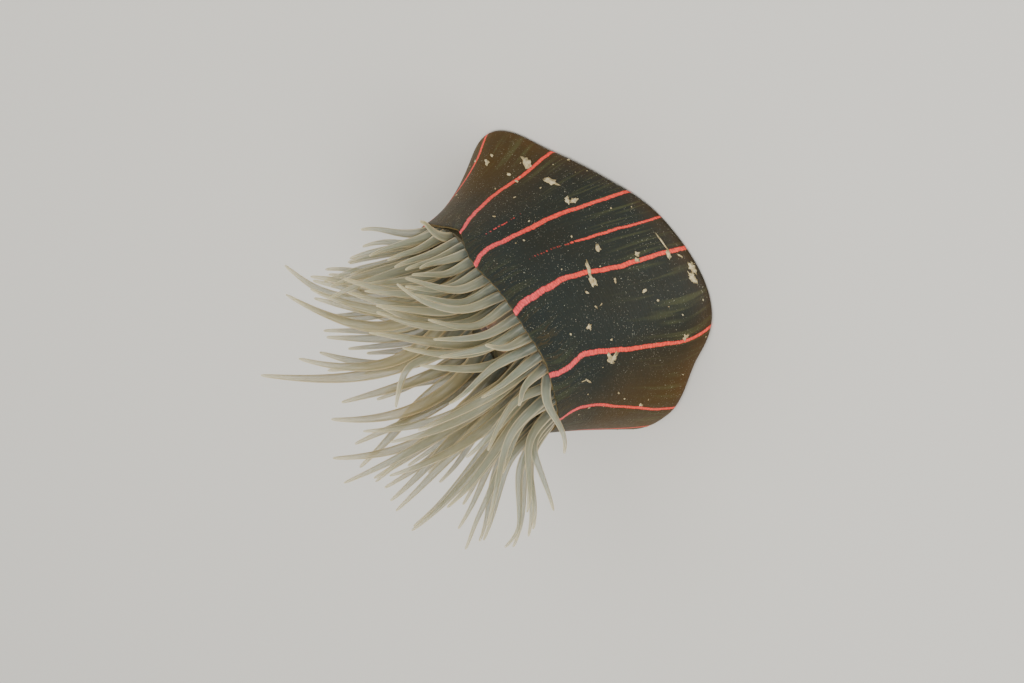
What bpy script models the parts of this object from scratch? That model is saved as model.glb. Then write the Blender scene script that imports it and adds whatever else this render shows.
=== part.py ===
"""A striped sea anemone standing open on its foot, life size.

Metres, +Z up. The origin is on the flat underside of the foot. -Y is the animal's near side, where the foot
comes to a blunt point, and the crown leans back towards +Y. Azimuths go round the body from -Y towards +X.
"""

import math
import random

import bmesh
import bpy
import numpy as np
from mathutils import Matrix, Vector

MM = 0.001

# The foot: a flat sole with a blunt, three-cornered outline. How far it reaches in mm, and how sharply the
# wall spreads to it, from 1 for a straight tent to 2 for a late sweep: every 30 degrees from azimuth -180.
FOOT_REACH = [10.4, 11.3, 13.6, 13.0, 12.3, 14.2, 12.9, 10.9, 11.0, 13.6, 12.6, 10.9]
FLARES = [1.3, 1.2, 1.0, 1.05, 1.3, 1.6, 1.65, 1.7, 1.8, 2.0, 1.9, 1.5]
FOOT_THICK = 0.9 * MM
SOLE_ROUND = 0.45 * MM

# The crown: the circle of the margin, and the tilt that it leans back by.
MARGIN_RADIUS = 9.4 * MM
MARGIN_CENTRE = Vector((0.42, 2.85, 8.25)) * MM
LEAN = math.radians(19.5)
MARGIN_DEPTH = 1.3 * MM
MARGIN_WALL = 0.62 * MM

# Rises and dips of the margin: azimuth, half width in degrees, height.
MARGIN_WAVES = [
    (-28, 13, -0.28 * MM),
    (27, 12, 0.34 * MM),
    (52, 10, -0.72 * MM),
    (118, 22, 0.30 * MM),
    (-150, 25, -0.30 * MM),
    (-100, 16, 0.22 * MM),
]

# The oral disc and the blocks of it that carry the tentacles, as heights below the margin and radii.
GAP = 0.3 * MM
DISC_TOP = -0.45 * MM
OUTER_BLOCK = (7.58 * MM, 8.52 * MM)
INNER_BLOCK = (4.05 * MM, 7.28 * MM)
DISC_RADIUS = 3.75 * MM
LIP_LENGTH = 1.55 * MM
LIP_WIDTH = 0.85 * MM
LIP_THICK = 0.42 * MM
LIP_SIDES = 20

# Tentacles stand in rows, counted from the margin inwards. Each sector of the disc carries its share.
SECTORS = 12
SECTOR_ANGLE = 360.0 / SECTORS
ROWS = [
    {"at": 8.15 * MM, "thick": 0.36 * MM, "spans": 4, "in_sector": (-11.2, -5.6, 0.0, 5.6, 11.2)},
    {"at": 6.80 * MM, "thick": 0.42 * MM, "spans": 5, "in_sector": (-7.3, 7.3)},
    {"at": 5.75 * MM, "thick": 0.45 * MM, "spans": 5, "in_sector": (3.5,)},
    {"at": 4.65 * MM, "thick": 0.45 * MM, "spans": 6, "in_sector": (-4.5,)},
]
TIP_THICK = 0.25 * MM
PATH_POINTS = 24
TENTACLE_SIDES = 6
ROOT_CLOSER = 1.35
ROOT_DEPTH = 0.3 * MM
SEED = 11

# The lay of the crown, in mm: how far to the side and how high over its root a row's tentacles end, and how
# far their middles bow to the side. One value for the middle of each sector, round from azimuth -165.
LAY = [
    {
        "side": [0.5, -2.0, -6.0, -6.0, -4.0, 1.0, 2.5, 0.5, 1.5, 2.0, 3.0, 2.5],
        "rise": [8.5, 9.0, 9.5, 6.5, 7.0, 6.5, 6.5, 5.0, 6.0, 7.0, 7.5, 8.0],
        "bow": [-0.2, 0.2, 0.6, 0.5, 0.6, -0.4, -0.8, 0.0, 0.1, -0.2, -0.8, -0.7],
    },
    {
        "side": [1.0, -1.0, -3.0, -4.0, -1.0, 3.0, 3.0, 3.0, 1.5, 4.0, 5.0, 3.5],
        "rise": [11.0, 12.5, 13.5, 11.0, 9.5, 8.5, 8.0, 7.5, 9.5, 8.0, 9.0, 10.0],
        "bow": [-0.5, -0.3, -0.3, -0.1, -0.2, -1.3, -1.4, -0.8, 0.2, -1.0, -1.3, -1.0],
    },
    {
        "side": [-2.0, -3.0, -2.5, 0.0, 0.5, 5.5, 4.0, 4.5, 5.0, 6.5, 6.5, 4.5],
        "rise": [13.0, 13.0, 13.5, 13.5, 12.5, 10.0, 8.0, 9.0, 10.0, 11.0, 10.5, 11.0],
        "bow": [0.5, 0.0, 0.3, -1.0, -1.2, -1.0, -1.8, -1.5, -1.2, -2.4, -2.6, -2.2],
    },
    {
        "side": [1.5, 1.0, -1.0, 0.5, 2.0, 2.5, 4.0, 5.0, 5.5, 6.0, 2.5, 5.0],
        "rise": [13.0, 15.0, 13.5, 16.5, 13.5, 10.5, 7.0, 9.0, 10.5, 12.0, 13.0, 16.0],
        "bow": [-2.2, -2.2, 0.4, -0.6, -1.6, 0.3, -0.8, -1.5, -2.4, -3.2, -3.0, -2.3],
    },
]
# Outer tentacles that lie their own way: azimuth: (side, rise, bow).
STRAYS = {
    -93.8: (-7.2, 7.6, 0.1),
    -69.4: (-6.8, 4.4, 1.0),
    -50.6: (-6.1, 10.2, 1.0),
    -45.0: (-2.0, 7.0, 0.8),
    -39.4: (-5.8, 2.5, -0.3),
    -33.8: (-1.6, 3.8, 0.3),
    -20.6: (-0.4, 8.1, -0.2),
    -15.0: (1.1, 3.9, -0.5),
    9.4: (4.9, 6.9, -1.8),
    39.4: (0.9, 4.4, 0.3),
    56.2: (2.6, 2.3, 0.2),
    80.6: (3.5, 5.1, 0.1),
}
SIDE_VARIES = 0.6
RISE_VARIES = (0.10, 0.07, 0.0, 0.0)
# How far a row leans outwards at the near side and at the back, as a share of its rise.
LEAN_OUT = [(-0.14, 0.31), (-0.05, 0.31), (-0.05, 0.31), (-0.05, 0.31)]
# The least length of a tentacle, in mm, and how much of what it lacks is made up by a lean to the near side.
SHORTEST = 4.6
MADE_UP = 0.8
# Neighbours stand alternately forward and back of their row by this share of their length.
STAGGER = 0.05
# How much higher than straight a tentacle starts when it lies over the rim, by row, and in what share of its
# length it gets there.
OVER_RIM = (1.5 * MM, 0.6 * MM, 0.0, 0.0)
OVER_RIM_BY = 0.09
# How far a tentacle's outer half swings on to the side that it leans to, as a share of its lean.
TIP_TURN = 0.05
# Tentacles with a hooked tip: (row, sector): how far the tip turns aside, in mm, and where the hook starts.
HOOKED = {(3, 5): -2.4, (0, 3): 0.9, (2, 9): 0.8}
HOOKED_FROM = 0.8
ROUGH_STEPS = 60

# The comb, which keeps neighbouring tentacles apart and off the rim of the column.
FIXED_POINTS = 2
CLEARANCE = 0.3 * MM
REACH_OF_PUSH = 1.9 * MM
STIFFNESS = 0.12
RIM_CORE_RADIUS = MARGIN_RADIUS - MARGIN_WALL / 2
RIM_CORE_DEPTH = 0.25 * MM
RIM_CORE_THICK = 0.57 * MM
COMB_ROUNDS = 160
PAIRS_AGAIN_AFTER = 10

# How finely the solids are made.
SHARP_FROM = math.radians(50)
WALL_RISES = (0.0, 0.012, 0.04, 0.09, 0.18, 0.3, 0.45, 0.62, 0.8, 1.0)
WALL_SEGMENTS = 32


def outward(azimuth):
    """The level unit vector that points away from the body's axis at an azimuth in degrees."""
    angle = math.radians(azimuth)
    return Vector((math.sin(angle), -math.cos(angle), 0.0))


def angle_between(a, b):
    """How far azimuth a lies past azimuth b, from -180 to 180."""
    return (a - b + 180.0) % 360.0 - 180.0


# Takes a point of the crown's own frame, with the margin round its origin, to the body's frame.
CROWN = Matrix.Translation(MARGIN_CENTRE) @ Matrix.Rotation(-LEAN, 4, "X")
CROWN_AXIS = CROWN.to_3x3() @ Vector((0, 0, 1))


def margin_rise(azimuth):
    return sum(
        height * math.exp(-((angle_between(azimuth, at) / width) ** 2))
        for at, width, height in MARGIN_WAVES
    )


def round_table(values, azimuth):
    """A smooth curve through values that are spaced evenly round the body from azimuth -180."""
    count = len(values)
    place = (azimuth + 180.0) / 360.0 % 1.0 * count
    first, t = int(place), place % 1.0
    p0, p1, p2, p3 = (values[(first + step) % count] for step in (-1, 0, 1, 2))
    bend = (2 * p0 - 5 * p1 + 4 * p2 - p3) * t**2
    twist = (3 * (p1 - p2) + p3 - p0) * t**3
    return 0.5 * (2 * p1 + (p2 - p0) * t + bend + twist)


def foot_point(azimuth):
    return outward(azimuth) * round_table(FOOT_REACH, azimuth) * MM


def margin_point(azimuth):
    local = outward(azimuth) * MARGIN_RADIUS
    local.z = margin_rise(azimuth)
    return CROWN @ local


def wall_point(azimuth, rise):
    """A point of the column's wall, from rise 0 on the floor to 1 at the margin."""
    foot, margin = foot_point(azimuth), margin_point(azimuth)
    spread = (1.0 - rise) ** round_table(FLARES, azimuth)
    place = margin.lerp(foot, spread)
    place.z = margin.z * rise
    height = place.z
    if height < SOLE_ROUND:
        tuck = SOLE_ROUND - math.sqrt(SOLE_ROUND**2 - (SOLE_ROUND - height) ** 2)
        place -= outward(azimuth) * tuck
    return place


def rise_at_depth(azimuth, depth):
    """How far up the wall a point lies that is a given depth under the margin's plane."""
    low, high = 0.0, 1.0
    for _ in range(30):
        middle = (low + high) / 2
        below = (MARGIN_CENTRE - wall_point(azimuth, middle)).dot(CROWN_AXIS)
        low, high = (middle, high) if below > depth else (low, middle)
    return low


def material(name, colour, roughness):
    made = bpy.data.materials.new(name)
    made.use_nodes = True
    shader = made.node_tree.nodes["Principled BSDF"]
    shader.inputs["Base Color"].default_value = (*colour, 1.0)
    shader.inputs["Roughness"].default_value = roughness
    shader.inputs["Metallic"].default_value = 0.0
    return made


def collection(name):
    made = bpy.data.collections.new(name)
    bpy.context.scene.collection.children.link(made)
    return made


def finish(bm, name, home, skin=None):
    """Makes a named object of a bmesh, and puts it in its collection."""
    bmesh.ops.recalc_face_normals(bm, faces=bm.faces)
    mesh = bpy.data.meshes.new(name)
    bm.to_mesh(mesh)
    bm.free()
    mesh.shade_smooth()
    mesh.set_sharp_from_angle(angle=SHARP_FROM)
    made = bpy.data.objects.new(name, mesh)
    if skin is not None:
        mesh.materials.append(skin)
    home.objects.link(made)
    return made


def sheet(surface, around, along):
    """A grid whose corners a surface function places, with touching edges joined and round holes capped."""
    bm = bmesh.new()
    bmesh.ops.create_grid(bm, x_segments=around, y_segments=along, size=0.5)
    for corner in bm.verts:
        corner.co = surface(corner.co.x + 0.5, round((corner.co.y + 0.5) * along))
    bmesh.ops.remove_doubles(bm, verts=bm.verts, dist=1e-7)
    bmesh.ops.holes_fill(bm, edges=[edge for edge in bm.edges if edge.is_boundary])
    return bm


def cut(bm, point, normal):
    """Takes away what lies past a plane and closes the cut."""
    geometry = list(bm.verts) + list(bm.edges) + list(bm.faces)
    cut_edges = bmesh.ops.bisect_plane(
        bm, geom=geometry, plane_co=point, plane_no=normal, clear_outer=True, dist=1e-8
    )["geom_cut"]
    rim = [part for part in cut_edges if isinstance(part, bmesh.types.BMEdge)]
    bmesh.ops.edgeloop_fill(bm, edges=rim)


def whole_column():
    def surface(turn, ring):
        return wall_point(360.0 * turn, WALL_RISES[ring])

    return sheet(surface, WALL_SEGMENTS, len(WALL_RISES) - 1)


def build_column(home, skin, foot_skin):
    """The foot and the two lengths of the column, parted from one form by thin level and slanting cuts."""
    up = Vector((0, 0, 1))
    foot_top = Vector((0, 0, FOOT_THICK))
    middle = MARGIN_CENTRE * 0.5
    middle_axis = (up + CROWN_AXIS).normalized()
    top = MARGIN_CENTRE - CROWN_AXIS * MARGIN_DEPTH

    foot = whole_column()
    cut(foot, foot_top - up * GAP / 2, up)
    finish(foot, "foot", home, foot_skin)

    lower = whole_column()
    cut(lower, foot_top + up * GAP / 2, -up)
    cut(lower, middle - middle_axis * GAP / 2, middle_axis)
    finish(lower, "column_lower", home, skin)

    upper = whole_column()
    cut(upper, middle + middle_axis * GAP / 2, -middle_axis)
    cut(upper, top - CROWN_AXIS * GAP / 2, CROWN_AXIS)
    finish(upper, "column_upper", home, skin)


def build_margin(home, skin):
    """The rolled rim of the column, a closed ring standing round the oral disc."""
    bottom = MARGIN_DEPTH - GAP / 2

    def section(azimuth):
        low = wall_point(azimuth, rise_at_depth(azimuth, bottom))
        waist = wall_point(azimuth, rise_at_depth(azimuth, bottom * 0.45))
        rim = margin_point(azimuth)
        inwards = CROWN.to_3x3() @ -outward(azimuth)
        crest = rim + inwards * MARGIN_WALL * 0.5 + CROWN_AXIS * 0.1 * MM
        lip = rim + inwards * MARGIN_WALL * 0.95 - CROWN_AXIS * 0.1 * MM
        base = CROWN @ (outward(azimuth) * (MARGIN_RADIUS - MARGIN_WALL) - Vector((0, 0, bottom)))
        return [low, waist, rim, crest, lip, base, low]

    def surface(turn, step):
        return section(360.0 * turn)[step]

    finish(sheet(surface, WALL_SEGMENTS, 6), "margin", home, skin)


def block(sector, radii, top):
    """A curved slab of the oral disc, one sector wide."""
    centre = -180.0 + SECTOR_ANGLE * (sector + 0.5)
    middle = sum(radii) / 2
    half_angle = SECTOR_ANGLE / 2 - math.degrees(GAP / 2 / middle)
    bottom = -(MARGIN_DEPTH - GAP / 2)
    bm = bmesh.new()
    bmesh.ops.create_cube(bm, size=1.0)
    lengthwise = [edge for edge in bm.edges if abs(edge.verts[0].co.x - edge.verts[1].co.x) > 0.5]
    bmesh.ops.subdivide_edges(bm, edges=lengthwise, cuts=1, use_grid_fill=True)
    for corner in bm.verts:
        x, y, z = corner.co
        radius = radii[0] if y < 0 else radii[1]
        local = outward(centre + 2 * x * half_angle) * radius
        local.z = bottom if z < 0 else top
        corner.co = CROWN @ local
    return bm


def build_disc(home, skin, lip_skin):
    """The bare middle of the oral disc, and the lips that stand in an oval opening at its centre."""
    bottom = -(MARGIN_DEPTH - GAP / 2)
    clear = LIP_THICK + GAP

    def oval(turn, length, width, height):
        angle = math.tau * turn
        return CROWN @ Vector((length * math.cos(angle), width * math.sin(angle), height))

    disc_sections = [
        (DISC_RADIUS, DISC_RADIUS, bottom),
        (DISC_RADIUS, DISC_RADIUS, DISC_TOP),
        (DISC_RADIUS * 0.7, DISC_RADIUS * 0.62, DISC_TOP + 0.16 * MM),
        (LIP_LENGTH + clear, LIP_WIDTH + clear, DISC_TOP + 0.28 * MM),
        (LIP_LENGTH + clear, LIP_WIDTH + clear, bottom),
        (DISC_RADIUS, DISC_RADIUS, bottom),
    ]
    lip_sections = [
        (LIP_LENGTH + LIP_THICK, LIP_WIDTH + LIP_THICK, bottom),
        (LIP_LENGTH + LIP_THICK, LIP_WIDTH + LIP_THICK, DISC_TOP + 0.42 * MM),
        (LIP_LENGTH + LIP_THICK * 0.4, LIP_WIDTH + LIP_THICK * 0.2, DISC_TOP + 0.75 * MM),
        (LIP_LENGTH - LIP_THICK * 0.5, LIP_WIDTH - LIP_THICK * 0.8, DISC_TOP + 0.6 * MM),
        (LIP_LENGTH - LIP_THICK * 0.9, LIP_WIDTH - LIP_THICK * 1.4, bottom),
        (LIP_LENGTH + LIP_THICK, LIP_WIDTH + LIP_THICK, bottom),
    ]
    for name, sections, paint in (("oral_disc", disc_sections, skin), ("lips", lip_sections, lip_skin)):
        bm = sheet(lambda turn, step, s=sections: oval(turn, *s[step]), LIP_SIDES, len(sections) - 1)
        finish(bm, name, home, paint)


def lay_at(row, azimuth, chance):
    """How far aside and how high a tentacle ends, and how it bows, in mm."""
    if row == 0 and round(azimuth, 1) in STRAYS:
        return STRAYS[round(azimuth, 1)]
    past_first = azimuth - SECTOR_ANGLE / 2
    side, rise, bow = (round_table(LAY[row][what], past_first) for what in ("side", "rise", "bow"))
    if RISE_VARIES[row]:
        side += chance.gauss(0, SIDE_VARIES)
        rise *= 1.0 + chance.gauss(0, RISE_VARIES[row])
    return side, rise, bow


def lean_back(row, azimuth, long, parity):
    """How far towards +Y of the crown a tentacle of a given length ends, in mm."""
    near, far = LEAN_OUT[row]
    back = (near + (far - near) * (1 - math.cos(math.radians(azimuth))) / 2) * long
    back -= math.sqrt(max(0.0, SHORTEST**2 - long**2)) * MADE_UP
    return back + STAGGER * long * (-1) ** parity


def tentacle_rows():
    """Every tentacle's place and build, in the crown's own frame, row by row."""
    chance = random.Random(SEED)
    made = []
    for row, size in enumerate(ROWS):
        for sector in range(SECTORS):
            middle = -180.0 + SECTOR_ANGLE * (sector + 0.5)
            for place, turn in enumerate(size["in_sector"]):
                azimuth = middle + turn
                side, rise, bow = lay_at(row, middle if row > 1 else azimuth, chance)
                back = lean_back(row, azimuth, math.hypot(side, rise), place + sector)
                made.append(
                    {
                        "row": row,
                        "azimuth": azimuth,
                        "sector": sector,
                        "root": outward(azimuth) * size["at"] + Vector((0, 0, DISC_TOP)),
                        "reach": Vector((side, back, rise)) * MM,
                        "bow": bow * MM,
                        "turn": TIP_TURN * side * MM,
                        "hook": HOOKED.get((row, sector), 0.0) * MM * (place == 0),
                        "thick": size["thick"],
                        "spans": size["spans"],
                    }
                )
    return made


def first_path(tentacle):
    """Points evenly spaced along a tentacle before its neighbours push it."""
    reach = tentacle["reach"]
    aside = Vector((reach.z, 0.0, -reach.x)).normalized()
    over_rim = max(0.0, reach.normalized().dot(outward(tentacle["azimuth"]))) * OVER_RIM[tentacle["row"]]
    rough = []
    for number in range(ROUGH_STEPS + 1):
        t = number / ROUGH_STEPS
        swing = tentacle["bow"] * 4 * t * (1 - t)
        swing += tentacle["turn"] * 10 * t * (1 - t) * (2 * t - 1)
        swing += tentacle["hook"] * (max(0.0, t - HOOKED_FROM) / (1 - HOOKED_FROM)) ** 1.5
        lift = Vector((0, 0, over_rim * (1 - math.exp(-t / OVER_RIM_BY)) * (1 - t)))
        rough.append(tentacle["root"] + reach * t + aside * swing + lift)
    travelled = [0.0]
    for before, after in zip(rough, rough[1:]):
        travelled.append(travelled[-1] + (after - before).length)
    points = []
    for number in range(PATH_POINTS):
        goal = travelled[-1] * number / (PATH_POINTS - 1)
        leg = next((k for k, way in enumerate(travelled[1:]) if way >= goal), ROUGH_STEPS - 1)
        share = (goal - travelled[leg]) / (travelled[leg + 1] - travelled[leg])
        points.append(rough[leg].lerp(rough[leg + 1], share))
    return points


def thickness(tentacle, along):
    """The radius of the solid at a share of its length."""
    return TIP_THICK + (tentacle["thick"] - TIP_THICK) * (1.0 - along)


def near_pairs(points, reach):
    """The pairs of path points of different tentacles that lie within reach of each other."""
    first, second = [], []
    for number in range(0, len(points), PATH_POINTS):
        own = points[number : number + PATH_POINTS]
        rest = points[number + PATH_POINTS :]
        apart = np.sqrt(((own[:, None, :] - rest[None, :, :]) ** 2).sum(axis=2))
        a, b = np.nonzero(apart < reach)
        first.append(a + number)
        second.append(b + number + PATH_POINTS)
    return np.concatenate(first), np.concatenate(second)


def eased(shift):
    """The same shifts with the ones along a tentacle shared out among neighbours."""
    smooth = shift.copy()
    smooth[:, 1:-1] = (shift[:, :-2] + 2 * shift[:, 1:-1] + shift[:, 2:]) / 4
    smooth[:, -1] = (shift[:, -2] + 3 * shift[:, -1]) / 4
    smooth[:, :FIXED_POINTS] = 0.0
    return smooth


def combed_paths(tentacles):
    """The paths of all tentacles, pushed apart until no two touch."""
    start = np.array([[tuple(point) for point in first_path(t)] for t in tentacles])
    shift = np.zeros_like(start)
    thick = np.array([[thickness(t, k / (PATH_POINTS - 1)) for k in range(PATH_POINTS)] for t in tentacles])
    wanted = (thick + CLEARANCE / 2 * np.minimum(np.linspace(0.0, 4.0, PATH_POINTS), 1.0)).reshape(-1)
    for turn in range(COMB_ROUNDS):
        paths = start + shift
        flat = paths.reshape(-1, 3)
        if turn % PAIRS_AGAIN_AFTER == 0:
            first, second = near_pairs(flat, REACH_OF_PUSH)
        apart = flat[first] - flat[second]
        distance = np.maximum(np.sqrt((apart**2).sum(axis=1)), 1e-6)
        short = np.maximum(wanted[first] + wanted[second] - distance, 0.0)
        push = apart / distance[:, None] * (0.5 * short)[:, None]
        moved = np.zeros_like(flat)
        np.add.at(moved, first, push)
        np.add.at(moved, second, -push)
        moved = moved.reshape(start.shape) + off_the_margin(paths, thick)
        shift = shift + eased(eased(moved))
        shift += (eased(shift) - shift) * STIFFNESS
    return start + shift


def off_the_margin(paths, thick):
    """Pushes for the points that touch the rolled rim of the column, away from the rim's core."""
    azimuths = np.degrees(np.arctan2(paths[:, :, 0], -paths[:, :, 1]))
    rise = np.zeros_like(azimuths)
    for at, width, height in MARGIN_WAVES:
        rise += height * np.exp(-((((azimuths - at + 180.0) % 360.0 - 180.0) / width) ** 2))
    radius = np.sqrt(paths[:, :, 0] ** 2 + paths[:, :, 1] ** 2)
    out = radius - RIM_CORE_RADIUS
    up = paths[:, :, 2] - (rise - RIM_CORE_DEPTH)
    distance = np.maximum(np.sqrt(out**2 + up**2), 1e-6)
    short = np.maximum(RIM_CORE_THICK + thick - distance, 0.0)
    push = np.zeros_like(paths)
    push[:, :, 0] = paths[:, :, 0] / radius * short * out / distance
    push[:, :, 1] = paths[:, :, 1] / radius * short * out / distance
    push[:, :, 2] = short * np.maximum(up / distance, 0.3)
    return push


def tube(path, tentacle):
    """A six-sided taper along a path, starting inside the slab that it grows from."""
    spans = tentacle["spans"]
    shares = [(step / spans) ** ROOT_CLOSER for step in range(spans + 1)]
    points = [Vector(path[round(share * (PATH_POINTS - 1))]) for share in shares]
    heading = (points[1] - points[0]).normalized()
    points[0] = points[0] - Vector((0, 0, ROOT_DEPTH))
    side = heading.cross(Vector((0, 1, 0))).normalized()
    frames = []
    for number, point in enumerate(points):
        before, after = points[max(number - 1, 0)], points[min(number + 1, spans)]
        heading = (after - before).normalized()
        if number == 0:
            heading = Vector((0, 0, 1))
        side = (side - heading * side.dot(heading)).normalized()
        frames.append((point, side.copy(), heading.cross(side)))

    def surface(turn, ring):
        point, right, up = frames[ring]
        radius = thickness(tentacle, shares[ring])
        angle = math.tau * turn
        return CROWN @ (point + (right * math.cos(angle) + up * math.sin(angle)) * radius)

    return sheet(surface, TENTACLE_SIDES, spans)


def build_tentacles(home, helpers, skin):
    """Each sector's outer row and its inner rows, every tentacle joined to the slab that it grows from."""
    tentacles = tentacle_rows()
    paths = combed_paths(tentacles)
    slabs = {}
    for sector in range(SECTORS):
        for name, radii in (("outer", OUTER_BLOCK), ("inner", INNER_BLOCK)):
            bm = block(sector, radii, DISC_TOP)
            slabs[name, sector] = finish(bm, f"tentacles_{name}_{sector + 1:02d}", home, skin)
    for number, (tentacle, path) in enumerate(zip(tentacles, paths)):
        grown = finish(tube(path, tentacle), f"grown_{number:02d}", helpers)
        grown.hide_render = True
        grown.display_type = "WIRE"
        ring = "outer" if tentacle["row"] == 0 else "inner"
        join = slabs[ring, tentacle["sector"]].modifiers.new(f"join_{number:02d}", "BOOLEAN")
        join.operation = "UNION"
        join.object = grown


def main():
    for old in list(bpy.data.objects):
        bpy.data.objects.remove(old, do_unlink=True)
    home = collection("striped_anemone")
    helpers = collection("helpers")
    column_skin = material("column_skin", (0.035, 0.036, 0.024), 0.42)
    foot_skin = material("foot_skin", (0.075, 0.042, 0.015), 0.5)
    margin_skin = material("margin_skin", (0.11, 0.095, 0.04), 0.45)
    disc_skin = material("disc_skin", (0.13, 0.12, 0.075), 0.45)
    lip_skin = material("lip_skin", (0.42, 0.21, 0.1), 0.4)
    tentacle_skin = material("tentacle_skin", (0.31, 0.30, 0.22), 0.38)
    build_column(home, column_skin, foot_skin)
    build_margin(home, margin_skin)
    build_disc(home, disc_skin, lip_skin)
    build_tentacles(home, helpers, tentacle_skin)


main()
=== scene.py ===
# %% [markdown]
# # A striped sea anemone, open on its foot
#
# A sea anemone is one soft bag. It holds a rock with a flat foot, its wall rises as a column, and at the
# top the wall turns in over a rim and becomes the oral disc, with the mouth in the middle and rows of
# hollow tentacles. This one is about 27 mm across the foot, with thin coral stripes down an olive-black
# column.
#
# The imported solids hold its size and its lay. They could be painted as they are, but they are faceted and
# parted by small gaps, and living skin has no seams. So the frame is loaded first, its box is measured,
# and one unbroken skin is then built in the same place.

# %% Load the frame
import math
import random
from functools import partial

import bmesh
import bpy
import numpy as np
from mathutils import Matrix, Vector, noise


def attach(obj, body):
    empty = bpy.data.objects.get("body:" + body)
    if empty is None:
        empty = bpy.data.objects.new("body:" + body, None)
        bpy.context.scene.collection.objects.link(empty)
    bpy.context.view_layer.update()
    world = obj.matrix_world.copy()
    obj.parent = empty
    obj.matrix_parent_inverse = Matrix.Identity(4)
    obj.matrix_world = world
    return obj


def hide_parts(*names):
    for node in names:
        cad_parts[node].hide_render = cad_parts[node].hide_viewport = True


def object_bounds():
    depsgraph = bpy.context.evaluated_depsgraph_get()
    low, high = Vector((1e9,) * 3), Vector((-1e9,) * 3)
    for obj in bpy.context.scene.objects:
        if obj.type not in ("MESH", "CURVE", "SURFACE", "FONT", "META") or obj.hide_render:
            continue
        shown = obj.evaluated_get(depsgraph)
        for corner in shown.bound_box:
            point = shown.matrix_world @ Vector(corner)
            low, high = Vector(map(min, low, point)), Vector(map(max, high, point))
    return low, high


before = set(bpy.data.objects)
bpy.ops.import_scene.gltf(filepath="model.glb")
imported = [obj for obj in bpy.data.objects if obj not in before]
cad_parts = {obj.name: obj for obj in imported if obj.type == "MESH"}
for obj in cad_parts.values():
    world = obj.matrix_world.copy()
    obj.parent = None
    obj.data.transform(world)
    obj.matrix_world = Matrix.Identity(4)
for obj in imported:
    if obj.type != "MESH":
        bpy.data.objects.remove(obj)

MM = 0.001
cad_low, cad_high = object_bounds()
print("frame", len(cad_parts), "nodes", [round(x / MM, 1) for x in cad_high - cad_low], "mm")

# %% [markdown]
# ## The form of the column
#
# The foot has a blunt three-cornered outline, and the rim above it is a near circle that leans back. The
# wall between them could be one spun profile, but it spreads late on one side and early on the other. So
# the outline is a smooth closed curve through twelve reaches, and a second such curve says how sharply
# each side of the wall sweeps out to it.

# %% The foot, the rim and the wall
# Reaches in mm, and sweeps, for every 30 degrees round from azimuth -180.
FOOT_REACH = [10.4, 11.3, 13.6, 13.0, 12.3, 14.2, 12.9, 10.9, 11.0, 13.6, 12.6, 10.9]
FLARES = [1.3, 1.2, 1.0, 1.05, 1.3, 1.6, 1.65, 1.7, 1.8, 2.0, 1.9, 1.5]
SOLE_ROUND = 0.45 * MM
MARGIN_RADIUS = 9.4 * MM
MARGIN_CENTRE = Vector((0.42, 2.85, 8.25)) * MM
LEAN = math.radians(19.5)
# Rises and dips of the rim: azimuth, half width in degrees, height.
MARGIN_WAVES = [
    (-28, 13, -0.28 * MM),
    (27, 12, 0.34 * MM),
    (52, 10, -0.72 * MM),
    (118, 22, 0.30 * MM),
    (-150, 25, -0.30 * MM),
    (-100, 16, 0.22 * MM),
]
CROWN = Matrix.Translation(MARGIN_CENTRE) @ Matrix.Rotation(-LEAN, 4, "X")


def outward(azimuth):
    """The level unit vector away from the axis. Azimuth 0 is the near side, -Y, and 90 is +X."""
    angle = math.radians(azimuth)
    return Vector((math.sin(angle), -math.cos(angle), 0.0))


def angle_between(a, b):
    return (a - b + 180.0) % 360.0 - 180.0


def smooth_curve(p0, p1, p2, p3, t):
    """A point between p1 and p2 on the smooth curve through four points."""
    bend = (2 * p0 - 5 * p1 + 4 * p2 - p3) * t**2
    twist = (3 * (p1 - p2) + p3 - p0) * t**3
    return 0.5 * (2 * p1 + (p2 - p0) * t + bend + twist)


def round_table(values, azimuth):
    """A smooth closed curve through values spaced evenly round the body from azimuth -180."""
    count = len(values)
    place = (azimuth + 180.0) / 360.0 % 1.0 * count
    first = int(place)
    return smooth_curve(*(values[(first + step) % count] for step in (-1, 0, 1, 2)), place % 1.0)


def margin_rise(azimuth):
    return sum(
        height * math.exp(-((angle_between(azimuth, at) / width) ** 2))
        for at, width, height in MARGIN_WAVES
    )


def margin_point(azimuth):
    local = outward(azimuth) * MARGIN_RADIUS
    local.z = margin_rise(azimuth)
    return CROWN @ local


def wall_point(azimuth, rise):
    """A point of the wall, from rise 0 on the floor to 1 at the rim."""
    foot = outward(azimuth) * round_table(FOOT_REACH, azimuth) * MM
    margin = margin_point(azimuth)
    place = margin.lerp(foot, (1.0 - rise) ** round_table(FLARES, azimuth))
    place.z = margin.z * rise
    if place.z < SOLE_ROUND:
        place -= outward(azimuth) * (SOLE_ROUND - math.sqrt(SOLE_ROUND**2 - (SOLE_ROUND - place.z) ** 2))
    return place


heights = [round(margin_point(azimuth).z / MM, 2) for azimuth in (0, 180)]
print("rim to floor", heights[0], "mm in front,", heights[1], "behind")

# %% [markdown]
# ## The lay of the tentacles
#
# An anemone grows its tentacles in rings, the oldest and longest round the mouth and the youngest at the
# rim. This one has 108 in four rows, swept to one side by moving water. Placing each curve by hand would
# be slow and hard to change. Here each row says how far aside and how high its tentacles end, and how far
# they bow, at twelve places round the crown, and the rest lies smoothly between.

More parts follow.
